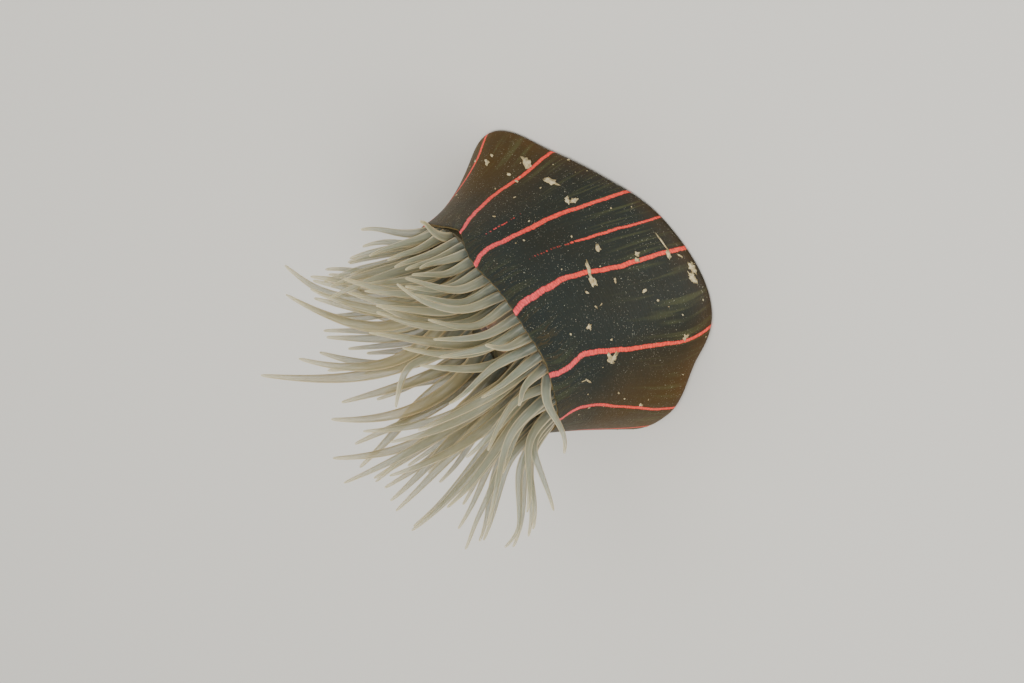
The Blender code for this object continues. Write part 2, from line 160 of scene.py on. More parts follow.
# %% The rows and their lay
SECTORS = 12
SECTOR_ANGLE = 360.0 / SECTORS
ROWS = [
    {"at": 8.15 * MM, "thick": 0.36 * MM, "in_sector": (-11.2, -5.6, 0.0, 5.6, 11.2)},
    {"at": 6.80 * MM, "thick": 0.42 * MM, "in_sector": (-7.3, 7.3)},
    {"at": 5.75 * MM, "thick": 0.45 * MM, "in_sector": (3.5,)},
    {"at": 4.65 * MM, "thick": 0.45 * MM, "in_sector": (-4.5,)},
]
# In mm, one value for the middle of each sector, round from azimuth -165.
LAY = [
    {
        "side": [0.5, -2.0, -6.0, -6.0, -4.0, 1.0, 2.5, 0.5, 1.5, 2.0, 3.0, 2.5],
        "rise": [8.5, 9.0, 9.5, 6.5, 7.0, 6.5, 6.5, 5.0, 6.0, 7.0, 7.5, 8.0],
        "bow": [-0.2, 0.2, 0.6, 0.5, 0.6, -0.4, -0.8, 0.0, 0.1, -0.2, -0.8, -0.7],
    },
    {
        "side": [1.0, -1.0, -3.0, -4.0, -1.0, 3.0, 3.0, 3.0, 1.5, 4.0, 5.0, 3.5],
        "rise": [11.0, 12.5, 13.5, 11.0, 9.5, 8.5, 8.0, 7.5, 9.5, 8.0, 9.0, 10.0],
        "bow": [-0.5, -0.3, -0.3, -0.1, -0.2, -1.3, -1.4, -0.8, 0.2, -1.0, -1.3, -1.0],
    },
    {
        "side": [-2.0, -3.0, -2.5, 0.0, 0.5, 5.5, 4.0, 4.5, 5.0, 6.5, 6.5, 4.5],
        "rise": [13.0, 13.0, 13.5, 13.5, 12.5, 10.0, 8.0, 9.0, 10.0, 11.0, 10.5, 11.0],
        "bow": [0.5, 0.0, 0.3, -1.0, -1.2, -1.0, -1.8, -1.5, -1.2, -2.4, -2.6, -2.2],
    },
    {
        "side": [1.5, 1.0, -1.0, 0.5, 2.0, 2.5, 4.0, 5.0, 5.5, 6.0, 2.5, 5.0],
        "rise": [13.0, 15.0, 13.5, 16.5, 13.5, 10.5, 7.0, 9.0, 10.5, 12.0, 13.0, 16.0],
        "bow": [-2.2, -2.2, 0.4, -0.6, -1.6, 0.3, -0.8, -1.5, -2.4, -3.2, -3.0, -2.3],
    },
]
# Outer tentacles that lie their own way: azimuth: (side, rise, bow).
STRAYS = {
    -93.8: (-7.2, 7.6, 0.1),
    -69.4: (-6.8, 4.4, 1.0),
    -50.6: (-6.1, 10.2, 1.0),
    -45.0: (-2.0, 7.0, 0.8),
    -39.4: (-5.8, 2.5, -0.3),
    -33.8: (-1.6, 3.8, 0.3),
    -20.6: (-0.4, 8.1, -0.2),
    -15.0: (1.1, 3.9, -0.5),
    9.4: (4.9, 6.9, -1.8),
    39.4: (0.9, 4.4, 0.3),
    56.2: (2.6, 2.3, 0.2),
    80.6: (3.5, 5.1, 0.1),
}
per_sector = sum(len(row["in_sector"]) for row in ROWS)
print(per_sector, "tentacles in each of", SECTORS, "sectors,", len(STRAYS), "strays")

# %% Where each tentacle is rooted and where it ends
DISC_TOP = -0.45 * MM
SEED = 11
# How much the two outer rows vary from their lay.
SIDE_VARIES = 0.6
RISE_VARIES = (0.10, 0.07, 0.0, 0.0)
# How far back each row leans for its length, on the near side and on the far one. A tentacle that ends
# less than SHORTEST mm aside and up makes most of it up by pointing forward. Neighbours lean more and
# less by turns.
LEAN_OUT = [(-0.14, 0.31), (-0.05, 0.31), (-0.05, 0.31), (-0.05, 0.31)]
SHORTEST = 4.6
MADE_UP = 0.8
STAGGER = 0.05
TIP_TURN = 0.05
# Tips that hook aside, by row and sector, in mm.
HOOKED = {(3, 5): -2.4, (0, 3): 0.9, (2, 9): 0.8}


def farness(azimuth):
    """0 on the near side, 1 on the far side."""
    return (1 - math.cos(math.radians(azimuth))) / 2


def lay_at(row, azimuth, chance):
    """How far aside and how high a tentacle ends, and how it bows, in mm."""
    if row == 0 and round(azimuth, 1) in STRAYS:
        return STRAYS[round(azimuth, 1)]
    past_first = azimuth - SECTOR_ANGLE / 2
    side, rise, bow = (round_table(LAY[row][what], past_first) for what in ("side", "rise", "bow"))
    if RISE_VARIES[row]:
        side += chance.gauss(0, SIDE_VARIES)
        rise *= 1.0 + chance.gauss(0, RISE_VARIES[row])
    return side, rise, bow


def lean_back(row, azimuth, long, parity):
    """How far towards +Y of the crown a tentacle of a given length ends, in mm."""
    near, far = LEAN_OUT[row]
    back = (near + (far - near) * farness(azimuth)) * long
    back -= math.sqrt(max(0.0, SHORTEST**2 - long**2)) * MADE_UP
    return back + STAGGER * long * (-1) ** parity


def tentacle_rows():
    """Every tentacle's place and build, in the crown's own frame, row by row."""
    chance = random.Random(SEED)
    made = []
    for row, size in enumerate(ROWS):
        for sector in range(SECTORS):
            middle = -180.0 + SECTOR_ANGLE * (sector + 0.5)
            for place, turn in enumerate(size["in_sector"]):
                azimuth = middle + turn
                side, rise, bow = lay_at(row, middle if row > 1 else azimuth, chance)
                back = lean_back(row, azimuth, math.hypot(side, rise), place + sector)
                made.append(
                    {
                        "row": row,
                        "azimuth": azimuth,
                        "sector": sector,
                        "place": place,
                        "root": outward(azimuth) * size["at"] + Vector((0, 0, DISC_TOP)),
                        "reach": Vector((side, back, rise)) * MM,
                        "bow": bow * MM,
                        "turn": TIP_TURN * side * MM,
                        "hook": HOOKED.get((row, sector), 0.0) * MM * (place == 0),
                        "thick": size["thick"],
                    }
                )
    return made


tentacles = tentacle_rows()
longest = max(tentacle["reach"].length for tentacle in tentacles)
print(len(tentacles), "tentacles, the longest reaches", round(longest / MM, 1), "mm")

# %% [markdown]
# ## Combing the tentacles
#
# Each tentacle starts as a bowed line from its root to its tip. Where lines cross, tentacles would pass
# through each other, which flesh can't do. A physics run could part them, but it is slow and drifts. A
# comb is enough: points of two tentacles that come too near push each other apart, the rolled rim pushes
# too, and the pushes are smoothed along each path so that it stays a soft curve.

# %% First paths
PATH_POINTS = 24
ROUGH_STEPS = 60
# How high a tentacle that bends out is lifted to clear the rim, by row, and how soon.
OVER_RIM = (1.5 * MM, 0.6 * MM, 0.0, 0.0)
OVER_RIM_BY = 0.09
HOOKED_FROM = 0.8


def first_path(tentacle):
    """Points evenly spaced along a tentacle before its neighbours push it."""
    reach = tentacle["reach"]
    aside = Vector((reach.z, 0.0, -reach.x)).normalized()
    bends_out = max(0.0, reach.normalized().dot(outward(tentacle["azimuth"])))
    over_rim = bends_out * OVER_RIM[tentacle["row"]]
    rough = []
    for number in range(ROUGH_STEPS + 1):
        t = number / ROUGH_STEPS
        swing = tentacle["bow"] * 4 * t * (1 - t)
        swing += tentacle["turn"] * 10 * t * (1 - t) * (2 * t - 1)
        swing += tentacle["hook"] * (max(0.0, t - HOOKED_FROM) / (1 - HOOKED_FROM)) ** 1.5
        lift = Vector((0, 0, over_rim * (1 - math.exp(-t / OVER_RIM_BY)) * (1 - t)))
        rough.append(tentacle["root"] + reach * t + aside * swing + lift)
    travelled = [0.0]
    for before, after in zip(rough, rough[1:]):
        travelled.append(travelled[-1] + (after - before).length)
    points = []
    for number in range(PATH_POINTS):
        goal = travelled[-1] * number / (PATH_POINTS - 1)
        leg = next((k for k, way in enumerate(travelled[1:]) if way >= goal), ROUGH_STEPS - 1)
        share = (goal - travelled[leg]) / (travelled[leg + 1] - travelled[leg])
        points.append(rough[leg].lerp(rough[leg + 1], share))
    return points


first_paths = [first_path(tentacle) for tentacle in tentacles]
print(len(first_paths), "paths of", PATH_POINTS, "points")

# %% The comb
TIP_THICK = 0.25 * MM
FIXED_POINTS = 2
# The clearance between two tentacles grows over the first quarter of their paths, as roots stand close.
CLEARANCE = 0.3 * MM
CLEARANCE_GROWS = 4.0
REACH_OF_PUSH = 1.9 * MM
STIFFNESS = 0.12
MARGIN_WALL = 0.62 * MM
RIM_CORE_RADIUS = MARGIN_RADIUS - MARGIN_WALL / 2
RIM_CORE_DEPTH = 0.25 * MM
RIM_CORE_THICK = 0.57 * MM
RIM_LIFTS = 0.3
COMB_ROUNDS = 160
PAIRS_AGAIN_AFTER = 10
NOTHING = 1e-6


def near_pairs(points, reach):
    """The pairs of path points of different tentacles that lie within reach of each other."""
    first, second = [], []
    for number in range(0, len(points), PATH_POINTS):
        own = points[number : number + PATH_POINTS]
        rest = points[number + PATH_POINTS :]
        apart = np.sqrt(((own[:, None, :] - rest[None, :, :]) ** 2).sum(axis=2))
        a, b = np.nonzero(apart < reach)
        first.append(a + number)
        second.append(b + number + PATH_POINTS)
    return np.concatenate(first), np.concatenate(second)


def eased(shift):
    """The same shifts with the ones along a tentacle shared out among neighbours."""
    smooth = shift.copy()
    smooth[:, 1:-1] = (shift[:, :-2] + 2 * shift[:, 1:-1] + shift[:, 2:]) / 4
    smooth[:, -1] = (shift[:, -2] + 3 * shift[:, -1]) / 4
    smooth[:, :FIXED_POINTS] = 0.0
    return smooth


def off_the_margin(paths, thick):
    """Pushes for the points that touch the rolled rim of the column, away from the rim's core."""
    x, y, z = np.moveaxis(paths, 2, 0)
    azimuths = np.degrees(np.arctan2(x, -y))
    rise = np.zeros_like(azimuths)
    for at, width, height in MARGIN_WAVES:
        rise += height * np.exp(-((angle_between(azimuths, at) / width) ** 2))
    radius = np.sqrt(x**2 + y**2)
    out = radius - RIM_CORE_RADIUS
    up = z - (rise - RIM_CORE_DEPTH)
    distance = np.maximum(np.sqrt(out**2 + up**2), NOTHING)
    short = np.maximum(RIM_CORE_THICK + thick - distance, 0.0)
    level = [x / radius * short * out / distance, y / radius * short * out / distance]
    return np.stack(level + [short * np.maximum(up / distance, RIM_LIFTS)], axis=2)


def combed_paths():
    """The paths of all tentacles, pushed apart until no two touch."""
    start = np.array([[tuple(point) for point in path] for path in first_paths])
    shift = np.zeros_like(start)
    shares = np.linspace(0.0, 1.0, PATH_POINTS)
    thick = np.array([TIP_THICK + (t["thick"] - TIP_THICK) * (1.0 - shares) for t in tentacles])
    wanted = (thick + CLEARANCE / 2 * np.minimum(CLEARANCE_GROWS * shares, 1.0)).reshape(-1)
    for turn in range(COMB_ROUNDS):
        paths = start + shift
        flat = paths.reshape(-1, 3)
        if turn % PAIRS_AGAIN_AFTER == 0:
            first, second = near_pairs(flat, REACH_OF_PUSH)
        apart = flat[first] - flat[second]
        distance = np.maximum(np.sqrt((apart**2).sum(axis=1)), NOTHING)
        short = np.maximum(wanted[first] + wanted[second] - distance, 0.0)
        push = apart / distance[:, None] * (0.5 * short)[:, None]
        moved = np.zeros_like(flat)
        np.add.at(moved, first, push)
        np.add.at(moved, second, -push)
        moved = moved.reshape(start.shape) + off_the_margin(paths, thick)
        shift = shift + eased(eased(moved))
        shift += (eased(shift) - shift) * STIFFNESS
    return start + shift


paths = combed_paths()
lengths = [float(np.sqrt((np.diff(path, axis=0) ** 2).sum(axis=1)).sum()) for path in paths]
print("tentacles are", round(min(lengths) / MM, 1), "to", round(max(lengths) / MM, 1), "mm long")

# %% [markdown]
# ## One skin
#
# Flesh has no seams, so foot, column, rim, disc, lips and tentacles are one mesh. It starts as a flat
# grid: one way runs round the body, and the other from the middle of the sole out to the foot's edge, up
# the wall, over the rim, across the disc and down into the mouth. Each row of the grid is a ring. A spun
# profile would be simpler, but the foot isn't round, the mouth is an oval, and the grid's corners have to
# crowd together where tentacles will grow. So a ring is a function of azimuth.

# %% How a ring runs
LIP_LENGTH = 1.55 * MM
LIP_WIDTH = 0.85 * MM
RIM_FOLDS = 0.035 * MM
FOLDS_FROM = 0.6
SCALLOP = 0.08 * MM
LIP_FOLDS = 20
CROWN_AXIS = CROWN.to_3x3() @ Vector((0, 0, 1))


def sole_point(share, azimuth, corner):
    return wall_point(azimuth, 0.0) * share


def folded_wall(rise, azimuth, corner):
    """The wall with the soft upright folds that gather below the rim."""
    fold = RIM_FOLDS * (-1) ** corner * max(0.0, (rise - FOLDS_FROM) / (1 - FOLDS_FROM))
    return wall_point(azimuth, rise) + outward(azimuth) * fold


def rim_point(inwards, height, azimuth, corner):
    """The rolled rim: so far in from the margin and so far over it, scalloped between the tentacles."""
    scallop = SCALLOP * (-1) ** (corner + 1)
    inner = CROWN.to_3x3() @ -outward(azimuth)
    return margin_point(azimuth) + inner * inwards + CROWN_AXIS * (height + scallop)


def disc_point(radius, height, azimuth, corner):
    return CROWN @ (outward(azimuth) * radius + Vector((0, 0, height)))


def lip_point(out, height, fold, azimuth, corner):
    """A ring of the mouth: an oval so far out from the lips' own, with folds of a given depth."""
    angle = math.radians(azimuth)
    wave = 1.0 + fold * math.cos(LIP_FOLDS * angle)
    x = (LIP_LENGTH + out) * math.sin(angle) * wave
    y = -(LIP_WIDTH + out) * math.cos(angle) * wave
    return CROWN @ Vector((x, y, DISC_TOP + height))


print("lips", round(2 * LIP_LENGTH / MM, 1), "by", round(2 * LIP_WIDTH / MM, 1), "mm")

# %% The rings of the skin
AROUND = 120
# Where the ten corners of each sector stand, in degrees from its middle: under the outer row of
# tentacles, and under each of the three inner rows.
EVEN = (-15.0, -11.2, -8.4, -5.6, -2.8, 0.0, 2.8, 5.6, 8.4, 11.2)
SECOND = (-15.0, -11.0, -7.3, -3.6, -1.8, 0.0, 1.8, 3.6, 7.3, 11.0)
THIRD = (-15.0, -12.1, -9.2, -6.3, -3.4, -0.5, 3.5, 7.5, 10.0, 12.5)
FOURTH = (-15.0, -12.25, -9.5, -4.5, 0.5, 3.1, 5.7, 8.3, 10.9, 13.0)


def halfway(a, b):
    return tuple((x + y) / 2 for x, y in zip(a, b))


SOLE_RINGS = (0.0, 0.3, 0.6, 0.82, 0.94)
WALL_RISES = (
    (0.0, 0.012, 0.035, 0.07, 0.12, 0.18, 0.25, 0.33, 0.41)
    + (0.49, 0.57, 0.65, 0.73, 0.81, 0.88, 0.94, 0.975)
)
# In mm: how far in from the margin and over it.
RIM_RINGS = ((0.0, -0.03), (0.05, 0.04), (0.14, 0.06), (0.23, -0.02), (0.28, -0.18))
# The part of the body, the corners, and the radius and height on the crown.
DISC_RINGS = [
    ("fosse", EVEN, 9.08, -0.3),
    ("roots_0", EVEN, 9.04, -0.2),
    ("disc", EVEN, 8.24, -0.24),
    ("disc", halfway(EVEN, SECOND), 7.75, -0.46),
    ("roots_1", SECOND, 7.24, -0.44),
    ("disc", SECOND, 6.36, -0.43),
    ("roots_2", THIRD, 6.2, -0.45),
    ("disc", THIRD, 5.3, -0.43),
    ("roots_3", FOURTH, 5.12, -0.44),
    ("disc", FOURTH, 4.18, -0.42),
    ("disc", halfway(FOURTH, EVEN), 3.7, -0.44),
    ("disc", EVEN, 3.2, -0.34),
    ("disc", EVEN, 2.7, -0.27),
]
# How far out from the mouth's own oval and over the disc, and how deep the folds are.
LIP_RINGS = [
    (0.62, 0.24, 0.01),
    (0.48, 0.42, 0.03),
    (0.34, 0.66, 0.05),
    (0.12, 0.78, 0.06),
    (-0.12, 0.7, 0.07),
    (-0.3, 0.4, 0.08),
    (-0.42, -0.1, 0.06),
    (-0.55, -0.6, 0.04),
    (-0.84, -0.85, 0.0),
]
rings = [("sole", EVEN, partial(sole_point, share)) for share in SOLE_RINGS]
rings += [("wall", EVEN, partial(folded_wall, rise)) for rise in WALL_RISES]
rings += [("rim", EVEN, partial(rim_point, inwards * MM, height * MM)) for inwards, height in RIM_RINGS]
for region, corners, radius, height in DISC_RINGS:
    rings.append((region, corners, partial(disc_point, radius * MM, height * MM)))
for out, height, fold in LIP_RINGS:
    rings.append(("lips", EVEN, partial(lip_point, out * MM, height * MM, fold)))
print(len(rings), "rings of", AROUND, "corners")

# %% [markdown]
# ## Where the stripes run
#
# The stripes run down the wall from the rim, bending a little on the way, and a few are broken into dots.
# They could be cut into the mesh as edges, but then every change to a stripe would change the mesh. So
# the skin carries a map whose first number counts the stripes round the body. It is a whole number on
# each stripe, so a material finds the nearest one by rounding it.

# %% The stripes
# Each stripe's azimuth at evenly spaced heights from the floor to the rim. The near ones bend the most.
STRIPES = [
    (-154, -153, -155, -154),
    (-127, -125, -128, -126),
    (-101, -103, -99, -98),
    (-84, -83, -81, -77.5, -74, -69.5, -65.5, -65, -70),
    (-38, -42, -41, -39.5, -38, -35, -32.5, -38, -36),
    (-10.5, -8.5, -7, -5, -1, 1, 1, 1.5, -0.5),
    (2, 4, 7.5, 10, 13, 15.5, 16.5, 17.5, 18),
    (17, 20, 23.5, 27, 28.5, 30, 31.5, 32.5, 28),
    (36, 37, 38, 38, 38, 38, 39, 40, 41),
    (58, 58, 57.5, 58, 59.5, 58.5, 56.5, 54, 49),
    (91, 89, 93, 86),
    (117, 114, 118, 116),
    (145, 148, 146, 146),
    (176, 174, 177, 176),
]
# The strength of the broken stripes, at evenly spaced heights too. The others are whole.
BROKEN = {
    1: (0.3, 0.4, 1.0, 1.0),
    6: (0.66, 0.68, 0.7, 0.62, 0.36, 0.42, 0.1, 0.0, 0.0),
    8: (0.0, 0.0, 0.0, 0.1, 0.2, 0.4, 0.42, 0.2, 0.0),
    12: (1.0, 0.9, 0.4, 0.3),
}
WHOLE = (1.0, 1.0)


def along_curve(values, share):
    """The smooth curve through evenly spaced values or points, at a share of the way along it."""
    place = min(max(share, 0.0), 1.0) * (len(values) - 1)
    first = min(int(place), len(values) - 2)
    near = [values[min(max(first + step, 0), len(values) - 1)] for step in (-1, 0, 1, 2)]
    return smooth_curve(*near, place - first)


def stripe_map(azimuth, rise):
    """The count of stripes at a place, the stripes per degree on the nearest one, and its strength."""
    at = [along_curve(stripe, rise) for stripe in STRIPES]
    count = len(at)
    at = [at[-1] - 360.0] + at + [at[0] + 360.0, at[1] + 360.0]
    at = [at[0] - (at[-2] - at[-3])] + at
    slopes = [2.0 / (after - before) for before, after in zip(at, at[2:])]
    k = next(k for k in range(1, len(at) - 2) if at[k] <= azimuth <= at[k + 1])
    gap = at[k + 1] - at[k]
    t = (azimuth - at[k]) / gap
    value = (3 * t**2 - 2 * t**3) + gap * (
        slopes[k - 1] * (t**3 - 2 * t**2 + t) + slopes[k] * (t**3 - t**2)
    )
    nearest = k if t < 0.5 else k + 1
    strength = along_curve(BROKEN.get((nearest - 2) % count, WHOLE), rise)
    return k - 2 + value, slopes[nearest - 1], strength


near_counts = [round(stripe_map(azimuth, 0.5)[0], 2) for azimuth in (-10, -5, 0)]
print(len(STRIPES), "stripes; just left of the near one the count is", near_counts)

# %% [markdown]
# ## Folding the grid into a body
#
# The grid's corners are sent to their places ring by ring. On the flat grid it is easy to say where each
# corner lies, so two maps are written on the way: "lie", which follows the body for the materials, and
# "OFBake", a flat layout on which no two faces overlap. Where the grid's two edges meet they are merged,
# which closes the skin, and the rings that have shrunk to a point become poles.

# %% What the skin carries
# The bands of the OFBake layout, bottom and top. The wall has two, one for each half turn.
BAKE_WALL = ((0.0, 0.225), (0.23, 0.455))
BAKE_REST = (0.46, 0.60)
DEGREES_PER_TURN = 360.0
# The rise of the parts that aren't wall: below 0 on the sole, and above 1 from the rim on.
SOLE_RISE = -0.05
RIM_RISE_STEP = 0.01
DISC_RISE = 1.2
LIPS_RISE = 1.4
COLUMN_REGIONS = ("sole", "wall", "rim")
MERGE_WITHIN = 1e-7

skin_mesh = bmesh.new()
bmesh.ops.create_grid(skin_mesh, x_segments=AROUND, y_segments=len(rings) - 1, size=0.5)
lie = skin_mesh.loops.layers.uv.new("lie")
bake = skin_mesh.loops.layers.uv.new("OFBake")
floats = skin_mesh.verts.layers.float
layers = {name: floats.new(name) for name in ("rise", "spread", "strength", "along", "tone")}
ring_of_face = skin_mesh.faces.layers.int.new("ring")
corner_of_face = skin_mesh.faces.layers.int.new("corner")
tentacle_of = skin_mesh.faces.layers.int.new("tentacle")
wall_rings = [number for number, ring in enumerate(rings) if ring[0] == "wall"]
rest_rings = [number for number in range(len(rings)) if number not in wall_rings[:-1]]


def rise_of(ring):
    """The rise that a ring's corners carry."""
    region = rings[ring][0]
    if region == "wall":
        return WALL_RISES[ring - wall_rings[0]]
    if region == "rim":
        return 1.0 + RIM_RISE_STEP * (ring - wall_rings[-1])
    return {"sole": SOLE_RISE, "lips": LIPS_RISE}.get(region, DISC_RISE)


def body_tile(face, ring, corner):
    """A place on the body's bands of the OFBake layout, for a corner of a face."""
    turn = corner / AROUND
    face_ring = face[ring_of_face]
    if face_ring in wall_rings[:-1]:
        half = face[corner_of_face] // (AROUND // 2)
        low, high = BAKE_WALL[half]
        return 2 * turn - half, low + (high - low) * (ring - wall_rings[0]) / (len(wall_rings) - 1)
    low, high = BAKE_REST
    band = face_ring - (len(wall_rings) - 1) * (face_ring > wall_rings[0]) + (ring > face_ring)
    return turn, low + (high - low) * band / len(rest_rings)


print("the flat grid has", len(skin_mesh.faces), "faces")

# %% The body
PER_SECTOR = AROUND // SECTORS

spots = {}
for vertex in skin_mesh.verts:
    ring = round((vertex.co.y + 0.5) * (len(rings) - 1))
    corner = round((vertex.co.x + 0.5) * AROUND)
    sector, step = divmod(corner, PER_SECTOR)
    spots[vertex] = (ring, corner, -180.0 + SECTOR_ANGLE * (sector + 0.5) + rings[ring][1][step])
for face in skin_mesh.faces:
    face[ring_of_face] = min(spots[vertex][0] for vertex in face.verts)
    face[corner_of_face] = min(spots[vertex][1] for vertex in face.verts)
for vertex, (ring, corner, azimuth) in spots.items():
    region, _, place = rings[ring]
    vertex.co = place(azimuth, corner)
    rise = rise_of(ring)
    count, per_degree, strength = stripe_map(azimuth, rise)
    radius = math.hypot(vertex.co.x, vertex.co.y)
    vertex[layers["rise"]] = rise
    vertex[layers["spread"]] = radius / MM * math.radians(1.0) / per_degree
    vertex[layers["strength"]] = strength
    lies = (count, vertex.co.z / MM)
    if region not in COLUMN_REGIONS:
        lies = (azimuth / DEGREES_PER_TURN, (CROWN.inverted() @ vertex.co).xy.length / MM)
    for loop in vertex.link_loops:
        loop[lie].uv = lies
        loop[bake].uv = body_tile(loop.face, ring, corner)

bmesh.ops.remove_doubles(skin_mesh, verts=skin_mesh.verts, dist=MERGE_WITHIN)
bmesh.ops.recalc_face_normals(skin_mesh, faces=skin_mesh.faces)
print(len(skin_mesh.faces), "faces, open edges:", sum(edge.is_boundary for edge in skin_mesh.edges))

# %% [markdown]
# ## Growing the tentacles
#
# A tentacle is a hollow finger of the disc, so it is pulled out of the disc and not stuck on it. At each
# root two faces become one six-sided face, an inset leaves a narrow collar round it, and the face is
# extruded again and again, each time on to the next ring of its path. One call to extrude_discrete_faces
# moves all 108 on by a ring. A curve would need joining to the disc afterwards, which leaves a crease.

# %% The roots
# The first of the three corners that span each tentacle's root, by row and place in the sector.
ROOT_CORNER = [(0, 2, 4, 6, 8), (1, 7), (5,), (2,)]
COLLAR = 0.05 * MM
SIDES = 6

by_place = {(face[ring_of_face], face[corner_of_face]): face for face in skin_mesh.faces}
middles = []
for number, tentacle in enumerate(tentacles):
    row = tentacle["row"]
    root_ring = next(n for n, ring in enumerate(rings) if ring[0] == f"roots_{row}")
    first = tentacle["sector"] * PER_SECTOR + ROOT_CORNER[row][tentacle["place"]]
    pair = [by_place[root_ring, first], by_place[root_ring, first + 1]]
    middles.append(next(edge for edge in pair[0].edges if edge in pair[1].edges))
    for face in pair:
        face[tentacle_of] = number + 1
bmesh.ops.dissolve_edges(skin_mesh, edges=middles, use_verts=False)
roots = [face for face in skin_mesh.faces if face[tentacle_of]]
bmesh.ops.inset_individual(
    skin_mesh, faces=roots, thickness=COLLAR, use_even_offset=True, use_interpolate=True
)
caps = [face for face in skin_mesh.faces if face[tentacle_of] and len(face.verts) == SIDES]
print(len(caps), "roots")

# %% How thick a tentacle is, and how it leaves its root
RINGS = 20
# A subdivided six-sided tube is this much thinner than its cage.
CAGE = 1.15
# The rings stand closer near the root, and the last two round the tip: place, and size as a share.
ROOT_CLOSER = 1.2
RINGS_END = 0.965
TIP_ROUNDING = ((0.985, 0.85), (1.0, 0.45))
TIP_RADIUS = 0.105 * MM
# How late a tentacle starts to thin, and how thick it is at its root, by row.
TAPER = (1.12, 1.7, 2.1, 2.1)
ROOT_RADIUS = (0.45 * MM, 0.48 * MM, 0.5 * MM, 0.5 * MM)
ROOT_NARROWS = 0.97
ROOT_UPRIGHT = 1.0
# How far out and up each row springs beside its path, and by which share of its length it has joined it.
# A short outer one joins after JOINS_AFTER or at JOINS_LATEST, whichever comes first.
SPRINGS_FROM = ((0.49 * MM, 0.22 * MM), (0.0, 0.0), (0.0, 0.0), (0.0, 0.0))
JOINS_PATH = (0.5, 0.35, 0.2, 0.2)
JOINS_AFTER = 3.4 * MM
JOINS_LATEST = 0.88
# How steeply a tentacle leaves its root, and how much more so if it bends out over the rim.
CLIMBS = 0.25
CLIMBS_OUTWARD = 0.45
BACK_FULLER = 0.22
STEP_ALONG = 0.01


def radius_at(row, share):
    thinning = 1.0 - share ** TAPER[row]
    return TIP_RADIUS + (ROOT_RADIUS[row] - TIP_RADIUS) * thinning


def path_point(tentacle, path, share):
    """A point of a tentacle. An outer one springs from the rim's edge and joins its combed path later."""
    joins = JOINS_PATH[tentacle["row"]]
    if tentacle["row"] == 0:
        joins = min(max(joins, JOINS_AFTER / tentacle["reach"].length), JOINS_LATEST)
    if share >= joins:
        return along_curve(path, share)
    out, up = SPRINGS_FROM[tentacle["row"]]
    away = outward(tentacle["azimuth"])
    start = path[0] + away * out + Vector((0, 0, up))
    end = along_curve(path, joins)
    way = end - start
    climb = CLIMBS + CLIMBS_OUTWARD * max(0.0, way.normalized().dot(away))
    leaves = (way.normalized() + Vector((0, 0, climb))).normalized() * way.length
    before, after = (along_curve(path, joins + step) for step in (-2 * STEP_ALONG, 2 * STEP_ALONG))
    arrives = (after - before) / (4 * STEP_ALONG) * joins
    t = share / joins
    bend = start * (2 * t**3 - 3 * t**2 + 1) + end * (3 * t**2 - 2 * t**3)
    return bend + leaves * (t**3 - 2 * t**2 + t) + arrives * (t**3 - t**2)


def tube_frames(tentacle, path):
    """Every ring's centre, two side directions, radius and share along, from the root on."""
    steps = [(0.0, ROOT_NARROWS)]
    steps += [(((step + 1) / (RINGS - 2)) ** ROOT_CLOSER * RINGS_END, 1.0) for step in range(RINGS - 2)]
    steps += TIP_ROUNDING
    angle = math.radians(tentacle["azimuth"])
    side = Vector((math.cos(angle), math.sin(angle), 0.0))
    fuller = 1.0 + BACK_FULLER * farness(tentacle["azimuth"]) ** 3
    frames = []
    for share, size in steps:
        before, after = (path_point(tentacle, path, share + step) for step in (-STEP_ALONG, STEP_ALONG))
        heading = (after - before).normalized()
        if not share:
            heading = (heading + Vector((0, 0, ROOT_UPRIGHT))).normalized()
        side = (side - heading * side.dot(heading)).normalized()
        radius = radius_at(tentacle["row"], share) * size * CAGE * fuller
        centre = path_point(tentacle, path, share)
        frames.append((centre, side.copy(), heading.cross(side), radius, share))
    return frames


soft_paths = [[Vector(point) for point in path] for path in paths]
frames = [tube_frames(tentacle, path) for tentacle, path in zip(tentacles, soft_paths)]
print("rings at", [round(share, 2) for *_, share in frames[0]])

# %% The rings of each tentacle
# A tentacle is browner the farther back and the farther in it stands, and by chance.
FAR_TONE = 0.45
ROW_TONE = 0.12
CHANCE_TONE = 0.25
TONE_SEED = 5
FIRST_CORNER = 30
CORNER_STEP = 360 // SIDES

tones = random.Random(TONE_SEED)
tone_of = []
for tentacle in tentacles:
    own = CHANCE_TONE * tones.random()
    tone_of.append(FAR_TONE * farness(tentacle["azimuth"]) + ROW_TONE * tentacle["row"] + own)
ring_layer, side_layer, owner_layer = (
    skin_mesh.verts.layers.int.new(name) for name in ("ring", "side", "owner")
)


def set_ring(cap, ring):
    """Moves a cap's corners on to a ring of its tentacle."""
    number = cap[tentacle_of] - 1
    centre, side, up, radius, share = frames[number][ring]
    for vertex in cap.verts:
        angle = math.radians(FIRST_CORNER + CORNER_STEP * vertex[side_layer])
        vertex.co = CROWN @ (centre + (side * math.cos(angle) + up * math.sin(angle)) * radius)
        vertex[ring_layer] = ring + 1
        vertex[owner_layer] = number + 1
        vertex[layers["along"]] = share
        vertex[layers["tone"]] = tone_of[number]


